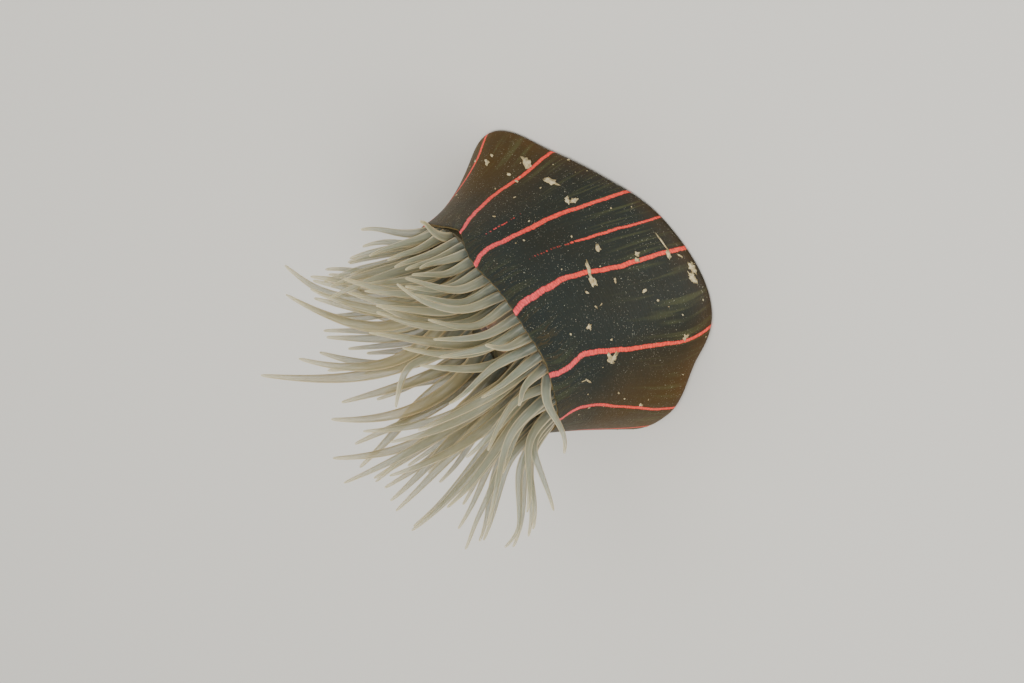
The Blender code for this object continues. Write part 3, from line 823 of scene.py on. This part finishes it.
for cap in caps:
    centre, side, up = frames[cap[tentacle_of] - 1][0][:3]
    for vertex in cap.verts:
        local = CROWN.inverted() @ vertex.co - centre
        angle = math.degrees(math.atan2(local.dot(up), local.dot(side)))
        vertex[side_layer] = round((angle - FIRST_CORNER) / CORNER_STEP) % SIDES
    set_ring(cap, 0)
for ring in range(1, RINGS + 1):
    grown = bmesh.ops.extrude_discrete_faces(skin_mesh, faces=caps)
    caps = [face for face in grown["faces"] if len(face.verts) == SIDES]
    for cap in caps:
        set_ring(cap, ring)
print(len(caps), "tips,", len(skin_mesh.faces), "faces")

# %% [markdown]
# ## Maps for the tentacles, and the smooth skin
#
# The new side faces still carry the maps of the disc, so they get their own: on "lie" the distance round
# and along the tentacle, and on "OFBake" one tile for each tentacle. Then the bmesh becomes an object.
# One level of Subdivision Surface rounds the six-sided tubes and the rim; a second would take the mesh
# over 200,000 triangles and show no more.

# %% Tiles for the tentacles
BAKE_TENTACLES = (0.61, 1.0)
TILES_ACROSS = 36
TILES_DOWN = 3
# Each tile has a free edge, and a small patch at its end for the tip, both as shares of it.
TILE_MARGIN = 0.06
TIP_PATCH = 0.02
TIP_PATCH_WIDE = 0.4
# The places of the skins in the object's list of materials.
COLUMN_SLOT, DISC_SLOT, TENTACLE_SLOT = 0, 1, 2


def tile_place(number, around, down):
    """A place on a tentacle's tile of the OFBake layout."""
    low, high = BAKE_TENTACLES
    across = number % TILES_ACROSS + TILE_MARGIN + (1 - 2 * TILE_MARGIN) * around
    row = number // TILES_ACROSS + TILE_MARGIN + (1 - 2 * TILE_MARGIN) * down
    return across / TILES_ACROSS, low + (high - low) * row / TILES_DOWN


def map_tentacle_face(face):
    """Writes both maps on a face of a tentacle's side or on its tip."""
    number = face.verts[0][owner_layer] - 1
    wraps = {vertex[side_layer] for vertex in face.verts} == {0, SIDES - 1}
    for loop in face.loops:
        vertex = loop.vert
        side = vertex[side_layer]
        around = 1.0 if wraps and side == 0 else side / SIDES
        down = (vertex[ring_layer] - 1) / (RINGS + 1)
        loop[lie].uv = (around, vertex[layers["along"]] * lengths[number] / MM)
        if len(face.verts) == SIDES:
            around = 0.5 + TIP_PATCH_WIDE * math.cos(math.tau * side / SIDES)
            down = 1.0 - TIP_PATCH * (1.0 + math.sin(math.tau * side / SIDES))
        loop[bake].uv = tile_place(number, around, down)


for face in skin_mesh.faces:
    if all(vertex[owner_layer] for vertex in face.verts):
        face.material_index = TENTACLE_SLOT
        map_tentacle_face(face)
    elif rings[face[ring_of_face]][0] in COLUMN_REGIONS:
        face.material_index = COLUMN_SLOT
    else:
        face.material_index = DISC_SLOT
print(TILES_ACROSS * TILES_DOWN, "tiles")

# %% The skin as an object
def as_object(bm, name, materials):
    """Makes an object of a bmesh, at the origin."""
    mesh = bpy.data.meshes.new(name)
    bm.to_mesh(mesh)
    bm.free()
    mesh.shade_smooth()
    for finish in materials:
        mesh.materials.append(finish)
    made = bpy.data.objects.new(name, mesh)
    bpy.context.scene.collection.objects.link(made)
    return made


column_skin, disc_skin, tentacle_skin = (
    bpy.data.materials.new(name) for name in ("column_skin", "disc_skin", "tentacle_skin")
)
skin = as_object(skin_mesh, "anemone_skin", [column_skin, disc_skin, tentacle_skin])
rounding = skin.modifiers.new("rounding", "SUBSURF")
rounding.levels = 1
rounding.render_levels = 1
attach(skin, "root")
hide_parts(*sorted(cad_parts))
print("skin:", 8 * len(skin.data.polygons), "triangles or so once it is rounded")

# %% [markdown]
# ## Small tools for materials
#
# Nodes could be placed and linked one by one, but they are easier to read as short sums. These helpers
# place a node, feed its sockets with numbers or with other nodes' outputs, and hand back its own. Most
# take an output first, since it knows which tree it is in. Colours are written as a painter's 0 to 255
# values and turned to the linear light that shaders work in.

# %% Colours and sockets
def shade(*painted):
    """A colour from 0-255 values, as linear light."""
    shares = [value / 255 for value in painted]
    return (*(s / 12.92 if s <= 0.04045 else ((s + 0.055) / 1.055) ** 2.4 for s in shares), 1.0)


def feed(node, values):
    """Feeds a node's sockets, by name or number, with plain values or with other nodes' outputs."""
    for name, value in values.items():
        socket = node.inputs[name]
        if isinstance(value, bpy.types.NodeSocket):
            node.id_data.links.new(value, socket)
        else:
            socket.default_value = value


def put(tree, kind, inputs, output=0, **settings):
    """A node of a kind, with its settings and its inputs. Gives back one of its outputs."""
    made = tree.nodes.new("ShaderNode" + kind)
    for name, value in settings.items():
        setattr(made, name, value)
    feed(made, inputs)
    return made.outputs[output]


print("orange as linear light:", [round(part, 2) for part in shade(255, 128, 0)])

# %% Sums and patterns
def maths(operation, *values):
    return put(values[0].id_data, "Math", dict(enumerate(values)), operation=operation)


def times(a, b):
    return maths("MULTIPLY", a, b)


def scaled(value, scale, offset):
    """A value times a scale, plus an offset."""
    return maths("MULTIPLY_ADD", value, scale, offset)


def between(value, low, high):
    """0 up to low, 1 from high on, and smooth between. Low may be above high."""
    inputs = {"Value": value, "From Min": low, "From Max": high}
    return put(value.id_data, "MapRange", inputs, interpolation_type="SMOOTHSTEP")


def blend(share, a, b, most=1.0):
    """Colour a with a share of colour b over it, and at most so much of it."""
    if most < 1.0:
        share = times(share, most)
    inputs = {"Factor": share, "A": a, "B": b}
    return put(share.id_data, "Mix", inputs, output="Result", data_type="RGBA")


def stretched(x, y):
    return put(x.id_data, "CombineXYZ", {0: x, 1: y})


def parts(value):
    """The three numbers of a vector."""
    return put(value.id_data, "SeparateXYZ", {0: value}).node.outputs


def cloud(place, scale, detail=2.0):
    return put(place.id_data, "TexNoise", {"Vector": place, "Scale": scale, "Detail": detail})


def bumped(height, strength, deep):
    """A Normal that is roughened by a height."""
    return put(height.id_data, "Bump", {"Strength": strength, "Distance": deep, "Height": height})


print("sums and patterns ready")

# %% What a material reads
def attribute(tree, name):
    return put(tree, "Attribute", {}, output="Fac", attribute_name=name)


def shader_of(material):
    """A material's node tree, its Principled shader and the place in the object."""
    material.use_nodes = True
    tree = material.node_tree
    return tree, tree.nodes["Principled BSDF"], put(tree, "TexCoord", {}, output="Object")


def lie_of(tree):
    """The two numbers of the lie map."""
    return parts(put(tree, "UVMap", {}, uv_map="lie"))[:2]


print("the skins carry", sorted(layers))

# %% [markdown]
# ## Effects that several skins share
#
# Three effects come back on every surface, so each is built once as a node group: flecks, the tiny pale
# specks of silt that settle on slime; creases, the fine wrinkles of a skin that can shrink to a button;
# and mottle, the slow drift of colour over living tissue. A group only gives out a value from 0 to 1, and
# the material decides what it does with it.

# %% Shared groups
def new_group(name, inputs, output):
    """An empty shader node group: its tree, its inputs by name and the node that takes its output.

    An input whose value is None is a vector.
    """
    tree = bpy.data.node_groups.new(name, "ShaderNodeTree")
    for socket, value in inputs.items():
        kind = "NodeSocketVector" if value is None else "NodeSocketFloat"
        made = tree.interface.new_socket(name=socket, in_out="INPUT", socket_type=kind)
        if value is not None:
            made.default_value = value
    tree.interface.new_socket(name=output, in_out="OUTPUT", socket_type="NodeSocketFloat")
    return tree, tree.nodes.new("NodeGroupInput").outputs, tree.nodes.new("NodeGroupOutput")


inputs = {"Vector": None, "Scale": 2000.0, "Size": 0.1, "Share": 0.5}
flecks, given, out = new_group("flecks", inputs, "Mask")
distance = put(flecks, "TexVoronoi", {"Vector": given["Vector"], "Scale": given["Scale"]})
near = between(distance, given["Size"], times(given["Size"], 0.6))
red = put(flecks, "SeparateColor", {0: distance.node.outputs["Color"]})
feed(out, {"Mask": times(near, maths("LESS_THAN", red, given["Share"]))})

inputs = {"Around": 0.0, "Along": 0.0, "Fine Around": 1.0, "Fine Along": 8.0}
creases, given, out = new_group("creases", inputs, "Height")
x, y = (times(given[way], given["Fine " + way]) for way in ("Around", "Along"))
feed(out, {"Height": cloud(stretched(x, y), 1.0, 3.0)})

inputs = {"Vector": None, "Scale": 300.0, "Low": 0.4, "High": 0.6}
mottle, given, out = new_group("mottle", inputs, "Mask")
drift = cloud(given["Vector"], given["Scale"], 4.0)
feed(out, {"Mask": between(drift, given["Low"], given["High"])})


def use(group, *values):
    """Places a group in a material with its own values, in the order of its sockets. Gives its output."""
    return put(values[0].id_data, "Group", dict(enumerate(values)), node_tree=group)


print("groups:", flecks.name, creases.name, mottle.name)

# %% [markdown]
# ## The skin of the column
#
# The wall is olive-black and satin under its slime, with a blue-grey painted sheen in patches and on its
# upper front. It is golden brown on the flanks and rust-brown at the thin edge of the foot, partly its own
# brown and partly a painted glow of light through the thin tissue, with faint paler streaks below the rim.
# The stripes are narrow coral bands, pinker near the rim, each crossed by fine wrinkles with painted shade
# in their hollows. All of it is worked out from the lie of the skin, so it follows every bend. Painting it
# on an image would need a picture and would blur.

# %% The stripes' mask
STRIPE_HALF = 0.165
STRIPE_SWAY = 0.3
STRIPE_RAG = 0.16
STRIPE_SOFT = 0.035
STRIPE_APART = 7.3
THINS_WITH_STRENGTH = 1.5


def stripe_mask(tree, across, down):
    """1 on a coral stripe and 0 off it, with a soft, slightly ragged edge. Distances are in mm."""
    nearest = maths("ROUND", across)
    strength = attribute(tree, "strength")
    off = times(maths("SUBTRACT", across, nearest), attribute(tree, "spread"))
    # Each stripe reads its own part of the noise.
    own = times(nearest, STRIPE_APART)
    sway = maths("SUBTRACT", cloud(stretched(own, down), 0.9), 0.5)
    fine_down = stretched(off, times(down, 8.0))
    rag = maths("SUBTRACT", cloud(fine_down, 1.6), 0.5)
    off = scaled(sway, STRIPE_SWAY, off)
    distance = scaled(rag, STRIPE_RAG, maths("ABSOLUTE", off))
    swell = cloud(stretched(down, own), 0.6)
    half = times(scaled(swell, 0.5, 0.75), STRIPE_HALF)
    half = times(half, maths("POWER", strength, THINS_WITH_STRENGTH))
    inside = between(maths("SUBTRACT", half, distance), -STRIPE_SOFT, STRIPE_SOFT)
    dots = maths("ADD", strength, cloud(stretched(own, times(down, 7.0)), 1.0))
    return times(inside, between(dots, 0.88, 1.0))


print("a whole stripe is about", round(2 * STRIPE_HALF, 2), "mm wide")

# %% Column material
COLUMN_DARK = shade(41, 42, 34)
COLUMN_PAINTED_SHEEN = shade(41, 50, 50)
FLANK_BROWN_AND_GLOW = shade(78, 55, 6)
FLANK_FROM, FLANK_TO = 7 * MM, 13 * MM
FOOT_EDGE_BROWN_AND_GLOW = shade(84, 59, 32)
STREAKS = shade(86, 90, 56)
FOLD_LINES = shade(104, 84, 40)
RIM_LINE = shade(108, 92, 54)
INSIDE_RIM = shade(60, 55, 38)
STRIPE_LOW = shade(255, 84, 66)
STRIPE_HIGH = shade(255, 94, 101)
STRIPE_WRINKLE_SHADE = shade(150, 48, 50)
SPECKS = shade(205, 202, 180)
SOLE_COLOUR = shade(150, 120, 82)


def wall_colour(place, rise, upright):
    """The wall's colour, with its streaks, a painted sheen, and brown flanks partly a painted glow."""
    drift = use(mottle, place, 240.0, 0.3, 0.7)
    x = maths("ABSOLUTE", parts(place)[0])
    # Brown on the flanks: partly the wall's own brown, partly a painted glow of light through the thin
    # sides.
    flank = between(scaled(drift, 2 * MM, x), FLANK_FROM, FLANK_TO)
    colour = blend(flank, COLUMN_DARK, FLANK_BROWN_AND_GLOW)
    # Painted sheen: a blue-grey tint laid on in patches and over the upper front wall, where slime
    # reflects.
    colour = blend(drift, colour, COLUMN_PAINTED_SHEEN, 0.35)
    painted_sheen = times(between(rise, 0.45, 0.85), scaled(flank, -0.5, 0.5))
    colour = blend(painted_sheen, colour, COLUMN_PAINTED_SHEEN)
    streaky = between(upright, 0.5, 0.68)
    for low, high, most in ((0.6, 1.0, 0.38), (0.55, 0.1, 0.42)):
        colour = blend(times(streaky, between(rise, low, high)), colour, STREAKS, most)
    fold = times(between(upright, 0.48, 0.5), between(upright, 0.53, 0.51))
    colour = blend(times(fold, between(rise, 0.7, 0.95)), colour, FOLD_LINES, 0.28)
    # Rust-brown at the foot's thin edge: partly its own colour, partly a painted glow of light through it.
    edge = between(scaled(drift, 0.08, rise), 0.18, 0.0)
    colour = blend(times(edge, scaled(flank, 0.4, 0.4)), colour, FOOT_EDGE_BROWN_AND_GLOW)
    return blend(between(rise, -0.001, -0.04), colour, SOLE_COLOUR)


def coral_colour(place, rise, fine):
    """The coral of a stripe, pinker near the rim, with dark pores and painted shade in its fine wrinkles.
    """
    coral = blend(between(rise, 0.45, 0.95), STRIPE_LOW, STRIPE_HIGH)
    # Painted shade: darker coral in the hollows of the fine wrinkles, where the bump is low.
    coral = blend(between(fine, 0.56, 0.44), coral, STRIPE_WRINKLE_SHADE, 0.4)
    return blend(use(flecks, place, 800.0, 0.055, 0.5), coral, COLUMN_DARK)


def silt_mask(place):
    """Where silt has settled: small specks in patches, a few larger ones, and dust."""
    patches = use(mottle, place, 420.0, 0.4, 0.62)
    small = times(use(flecks, place, 5500.0, 0.11, 0.8), scaled(patches, 0.45, 0.4))
    larger = times(use(flecks, place, 1500.0, 0.05, 0.2), 0.75)
    dust = times(use(mottle, place, 9000.0, 0.64, 0.72), scaled(patches, 0.4, 0.1))
    return maths("MAXIMUM", maths("MAXIMUM", small, larger), dust)


def paint_column():
    tree, shader, place = shader_of(column_skin)
    across, down = lie_of(tree)
    rise = attribute(tree, "rise")
    fine = use(creases, across, down, 9.0, 8.5)
    upright = use(creases, across, down, 14.0, 0.25)
    stripe = stripe_mask(tree, across, down)
    colour = wall_colour(place, rise, upright)
    on_wall = times(stripe, between(rise, -0.03, 0.0))
    colour = blend(on_wall, colour, coral_colour(place, rise, fine))
    over = times(between(rise, 1.015, 1.024), between(rise, 1.04, 1.028))
    colour = blend(times(over, scaled(stripe, -1.0, 1.0)), colour, RIM_LINE)
    colour = blend(between(rise, 1.035, 1.07), colour, INSIDE_RIM)
    silt = silt_mask(place)
    height = scaled(upright, 0.8, scaled(silt, 0.4, fine))
    looks = {
        "Base Color": blend(silt, colour, SPECKS),
        "Roughness": scaled(fine, 0.25, 0.42),
        "Normal": bumped(height, 0.55, 0.05 * MM),
        "Specular IOR Level": 0.16,
        "Subsurface Weight": 0.15,
        "Subsurface Radius": (1.0, 0.5, 0.25),
        "Subsurface Scale": 0.3 * MM,
    }
    feed(shader, looks)


paint_column()
print("column painted,", len(column_skin.node_tree.nodes), "nodes")

# %% [markdown]
# ## The oral disc and the lips
#
# The disc is dark olive with fine pale lines that run from the mouth to the tentacles, where the walls
# inside the animal meet it. The lips are pleated and brown, with painted shade and light across each
# fold. The disc's lie map holds turns round the mouth and the distance from it, which is just what rays
# and rings need.

# %% Disc material
RAYS = 48
DISC_DARK = shade(42, 44, 36)
DISC_BROWN = shade(74, 66, 42)
RAY_COLOUR = shade(140, 128, 88)
NEAR_MOUTH = shade(92, 70, 40)
LIPS_SHADED = shade(80, 56, 40)
LIPS_LIT = shade(126, 90, 60)
THROAT = shade(60, 22, 16)


def paint_disc():
    tree, shader, place = shader_of(disc_skin)
    across, down = lie_of(tree)
    fine = use(creases, across, down, 60.0, 6.0)
    ray_wave, pleat_wave = (
        maths("SINE", times(across, math.tau * count)) for count in (RAYS, LIP_FOLDS)
    )
    rays = between(scaled(fine, 0.8, ray_wave), 0.9, 1.5)
    colour = blend(use(mottle, place, 500.0, 0.35, 0.65), DISC_DARK, DISC_BROWN)
    colour = blend(rays, colour, RAY_COLOUR, 0.5)
    colour = blend(between(down, 4.2, 2.4), colour, NEAR_MOUTH, 0.6)
    # Painted shade and light across the lip folds: a shaded and a lit copy of one brown.
    lit_and_shaded_pleats = blend(between(pleat_wave, -0.6, 0.8), LIPS_SHADED, LIPS_LIT)
    colour = blend(between(attribute(tree, "rise"), 1.22, 1.3), colour, lit_and_shaded_pleats)
    colour = blend(between(down, 0.9, 0.35), colour, THROAT)
    looks = {
        "Base Color": blend(use(flecks, place, 2200.0, 0.1, 0.2), colour, SPECKS, 0.6),
        "Roughness": scaled(fine, 0.2, 0.3),
        "Normal": bumped(scaled(rays, 0.5, fine), 0.5, 0.05 * MM),
        "Subsurface Weight": 0.2,
        "Subsurface Radius": (1.0, 0.6, 0.4),
        "Subsurface Scale": 0.4 * MM,
    }
    feed(shader, looks)


paint_disc()
print("disc painted,", RAYS, "rays")

# %% [markdown]
# ## The tentacles
#
# A tentacle is a water-filled tube with a thin, frosted wall. It is clearest where it is looked straight
# through and densest at its edges, where the eye meets more wall, so its opacity rises with Layer Weight.
# Real glass with refraction was the other choice, but it is noisy and too shiny. The tint drifts from
# grey at the root to a pale tip, some tentacles are browner than others, pale lengthwise streaks are
# painted highlights, and a low, warm sheen lights the edges.

# %% Tentacle material
TENTACLE_ROOT = shade(84, 100, 99)
TENTACLE_MIDDLE = shade(150, 163, 151)
TENTACLE_WARM = shade(164, 148, 98)
TENTACLE_TIP = shade(196, 190, 158)
STREAK_HIGHLIGHTS = shade(196, 198, 184)


def paint_tentacles():
    tree, shader, place = shader_of(tentacle_skin)
    across, down = lie_of(tree)
    along = attribute(tree, "along")
    drift = use(mottle, place, 350.0, 0.3, 0.7)
    rings_across = use(creases, across, down, 2.0, 9.0)
    highlight_streaks = use(creases, across, down, 12.0, 0.3)
    warm = scaled(drift, 0.25, times(attribute(tree, "tone"), 0.55))
    colour = blend(warm, TENTACLE_MIDDLE, TENTACLE_WARM)
    colour = blend(between(along, 0.3, 0.0), colour, TENTACLE_ROOT)
    colour = blend(between(along, 0.75, 1.0), colour, TENTACLE_TIP)
    # Painted highlights: pale lengthwise streaks of frosted light laid into the colour.
    colour = blend(between(highlight_streaks, 0.5, 0.68), colour, STREAK_HIGHLIGHTS, 0.45)
    aslant = put(tree, "LayerWeight", {"Blend": 0.5}, output="Facing")
    clear = times(between(aslant, 0.55, 0.2), between(along, 0.0, 0.15))
    looks = {
        "Base Color": blend(use(flecks, place, 1500.0, 0.07, 0.25), colour, SPECKS, 0.6),
        "Roughness": scaled(rings_across, 0.2, 0.35),
        "Normal": bumped(rings_across, 0.3, 0.03 * MM),
        "Alpha": scaled(clear, -0.45, 1.0),
        "Specular IOR Level": 0.8,
        "Specular Tint": shade(255, 228, 184),
        "Subsurface Weight": 0.9,
        "Subsurface Radius": (1.0, 0.95, 0.75),
        "Subsurface Scale": 0.5 * MM,
        "Sheen Weight": 1.0,
        "Sheen Roughness": 0.5,
        "Sheen Tint": shade(255, 218, 158),
    }
    feed(shader, looks)


paint_tentacles()
print("tentacles painted")

# %% [markdown]
# ## Bits of shell and sand on the skin
#
# A few cream flakes of shell and some sand grains stick to the slime of the column. They stand off the
# skin and catch the light, so they are made as solids and not painted. Each one is a small ball flattened
# on the wall and roughened with noise. They are one joined piece, since they have one finish.

# %% The flakes
# Azimuth, rise, length and width in mm, and turn in degrees from upright.
FLAKES = [
    (30, 0.26, 0.55, 0.3, 70),
    (28, 0.24, 0.55, 0.35, 165),
    (49, 0.48, 0.25, 0.1, 160),
    (46, 0.69, 0.28, 0.12, 135),
    (64, 0.31, 0.45, 0.2, 90),
    (57, 0.35, 0.35, 0.2, 75),
    (80, 0.27, 0.6, 0.3, 65),
    (80, 0.21, 0.4, 0.2, 75),
    (62, 0.18, 1.2, 0.5, 60),
    (44, 0.23, 1.2, 0.42, 100),
    (4, 0.36, 0.48, 0.35, 80),
    (-5, 0.22, 0.38, 0.3, 100),
    (-7, 0.24, 0.42, 0.28, 125),
    (-1, 0.47, 1.1, 0.2, 70),
    (-6, 0.49, 0.85, 0.38, 80),
    (-10, 0.39, 0.4, 0.15, 70),
    (-9, 0.55, 0.3, 0.15, 105),
    (-18, 0.29, 0.38, 0.22, 10),
    (-6, 0.09, 1.4, 0.09, 90),
    (-10, 0.1, 0.58, 0.28, 75),
    (-12, 0.06, 0.4, 0.12, 115),
    (-17, 0.04, 0.8, 0.35, 85),
    (-20, 0.06, 0.85, 0.35, 90),
    (-16, 0.55, 0.28, 0.1, 105),
    (-16, 0.52, 0.22, 0.08, 20),
    (-40, 0.58, 0.9, 0.38, 100),
    (-40, 0.56, 0.9, 0.3, 55),
    (-22, 0.64, 0.45, 0.28, 15),
    (-23, 0.64, 0.3, 0.2, 90),
    (-40, 0.15, 0.6, 0.28, 75),
    (-47, 0.77, 0.35, 0.1, 0),
    (-48, 0.74, 0.55, 0.12, 120),
    (-63, 0.53, 0.3, 0.14, 110),
    (-76, 0.34, 0.4, 0.25, 130),
    (-22, 0.76, 0.16, 0.12, 90),
]
GRAINS = 60
GRAIN_SEED = 23
GRAIN_SIZES = (0.06, 0.2)
# The rises that grains are picked from, and the power that draws them down the wall.
GRAIN_RISES = (0.03, 0.9)
GRAINS_SINK = 1.3
# A flake's thickness as a share of its width, how far it stands off the wall, and the length from which
# it is made of a finer ball.
FLAKE_THICK = 0.16
STANDS_OFF = 0.01 * MM
LONG_FLAKE = 0.5
# How deep and how fine a flake's broad lumps and its small chips are, and how thin it may get.
LUMPS, LUMPS_FINE = 1.1, 2.2
CHIPS, CHIPS_FINE = 0.7, 5.0
THINNEST = 0.3
RISE_STEP = 0.02


def wall_frame(azimuth, rise):
    """A point of the wall with its outward direction, and the directions round and up it."""
    here = wall_point(azimuth, rise)
    around = (wall_point(azimuth + 1, rise) - wall_point(azimuth - 1, rise)).normalized()
    below = wall_point(azimuth, max(rise - RISE_STEP, 0.0))
    above = wall_point(azimuth, min(rise + RISE_STEP, 1.0))
    out = around.cross((above - below).normalized()).normalized()
    return here, around, out.cross(around), out


def add_flake(bm, azimuth, rise, long, wide, turn):
    here, around, up, out = wall_frame(azimuth, rise)
    fineness = 3 if long > LONG_FLAKE else 2
    ball = bmesh.ops.create_icosphere(bm, subdivisions=fineness, radius=1.0)["verts"]
    seed = Vector((azimuth, rise * 90, turn))
    for vertex in ball:
        lumps = LUMPS * noise.noise(vertex.co * LUMPS_FINE + seed)
        chips = CHIPS * noise.noise(vertex.co * CHIPS_FINE - seed)
        flat = vertex.co * max(1.0 + lumps + chips, THINNEST)
        vertex.co = Vector((flat.x * wide / 2, flat.y * long / 2, flat.z * FLAKE_THICK * wide)) * MM
    spin = Matrix.Rotation(math.radians(turn), 3, "Z")
    turned = Matrix((around, up, out)).transposed() @ spin
    matrix = Matrix.Translation(here + out * STANDS_OFF) @ turned.to_4x4()
    bmesh.ops.transform(bm, matrix=matrix, verts=ball)


bits = bmesh.new()
for flake in FLAKES:
    add_flake(bits, *flake)
chance = random.Random(GRAIN_SEED)
for number in range(GRAINS):
    size = chance.uniform(*GRAIN_SIZES)
    at = (chance.uniform(-180, 180), chance.uniform(*GRAIN_RISES) ** GRAINS_SINK)
    add_flake(bits, *at, size, size * chance.uniform(0.5, 1.0), chance.uniform(0, 180))
bmesh.ops.recalc_face_normals(bits, faces=bits.faces)
sand_skin = bpy.data.materials.new("sand_grains")
sand = as_object(bits, "sand_and_shell_bits", [sand_skin])
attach(sand, "root")
print(len(FLAKES), "flakes and", GRAINS, "grains,", len(sand.data.polygons), "faces")

# %% Flake material
SHELL_PALE = shade(214, 200, 158)
SHELL_TAN = shade(176, 156, 112)
SHELL_PITS = shade(110, 92, 60)


def paint_sand():
    _, shader, place = shader_of(sand_skin)
    drift = use(mottle, place, 3000.0, 0.35, 0.65)
    colour = blend(drift, SHELL_PALE, SHELL_TAN)
    looks = {
        "Base Color": blend(use(flecks, place, 7000.0, 0.3, 0.5), colour, SHELL_PITS, 0.4),
        "Roughness": scaled(drift, 0.2, 0.6),
        "Normal": bumped(cloud(place, 9000.0, 4.0), 0.5, 0.03 * MM),
    }
    feed(shader, looks)


paint_sand()
print("flakes painted")

# %% [markdown]
# ## Floor, light and camera
#
# A plain pale floor and big soft lamps let the colours speak. The lamps are large beside a 27 mm animal,
# so the shadows are soft. The camera looks down at the near side at 34 degrees from 200 mm with a long
# lens, and it is turned on its axis, so that the crown points to the lower left.

# %% The floor
FLOOR_GAP = 0.02 * MM
FLOOR_HALF = 1.5

floor_paint = bpy.data.materials.new("floor_paint")
floor_paint.use_nodes = True
floor_looks = {"Base Color": shade(214, 212, 206), "Roughness": 0.7}
feed(floor_paint.node_tree.nodes["Principled BSDF"], floor_looks)
floor_mesh = bmesh.new()
bmesh.ops.create_grid(floor_mesh, x_segments=1, y_segments=1, size=FLOOR_HALF)
bmesh.ops.translate(floor_mesh, verts=floor_mesh.verts, vec=(0, 0, -FLOOR_GAP))
floor = as_object(floor_mesh, "floor", [floor_paint])
print("floor", round(FLOOR_GAP / MM, 2), "mm under the sole")

# %% Lamps and sky
def add_lamp(name, azimuth, elevation, distance, size, power, colour):
    """A square soft lamp that looks at the middle of the animal."""
    lamp = bpy.data.lights.new(name, "AREA")
    lamp.size = size
    lamp.energy = power
    lamp.color = colour
    holder = bpy.data.objects.new(name, lamp)
    level = math.cos(math.radians(elevation)) * distance
    height = math.sin(math.radians(elevation)) * distance
    middle = (cad_low + cad_high) / 2
    holder.location = middle + outward(azimuth) * level + Vector((0, 0, height))
    holder.rotation_mode = "QUATERNION"
    holder.rotation_quaternion = (middle - holder.location).to_track_quat("-Z", "Y")
    bpy.context.scene.collection.objects.link(holder)


add_lamp("key", -38, 58, 0.32, 0.26, 1.0, (1.0, 0.98, 0.94))
add_lamp("fill", 55, 38, 0.36, 0.3, 0.45, (1.0, 0.99, 0.96))
add_lamp("back", 170, 50, 0.34, 0.26, 0.5, (1.0, 0.98, 0.95))
sky = bpy.data.worlds.new("studio")
sky.use_nodes = True
feed(sky.node_tree.nodes["Background"], {"Color": (1.0, 0.99, 0.95, 1.0), "Strength": 0.5})
bpy.context.scene.world = sky
print(len(bpy.data.lights), "lamps")

# %% The camera
LOOKS_AT = Vector((-1.43, 1.4, 8.0)) * MM
CAMERA_DISTANCE = 200 * MM
CAMERA_ELEVATION = math.radians(34)
CAMERA_ROLL = math.radians(122.4)
SENSOR_WIDTH = 36.0
LENS = 91.4
NEAREST_SEEN = 10 * MM

sight = Vector((0, math.cos(CAMERA_ELEVATION), -math.sin(CAMERA_ELEVATION)))
right = Vector((1, 0, 0))
up = right.cross(sight)
camera_data = bpy.data.cameras.new("camera")
camera_data.sensor_width = SENSOR_WIDTH
camera_data.lens = LENS
camera_data.clip_start = NEAREST_SEEN
camera = bpy.data.objects.new("camera", camera_data)
bpy.context.scene.collection.objects.link(camera)
across_frame = right * math.cos(CAMERA_ROLL) - up * math.sin(CAMERA_ROLL)
up_frame = right * math.sin(CAMERA_ROLL) + up * math.cos(CAMERA_ROLL)
turned = Matrix((across_frame, up_frame, -sight)).transposed().to_4x4()
camera.matrix_world = Matrix.Translation(LOOKS_AT - sight * CAMERA_DISTANCE) @ turned
bpy.context.scene.camera = camera
print("camera", round(CAMERA_DISTANCE / MM), "mm away")
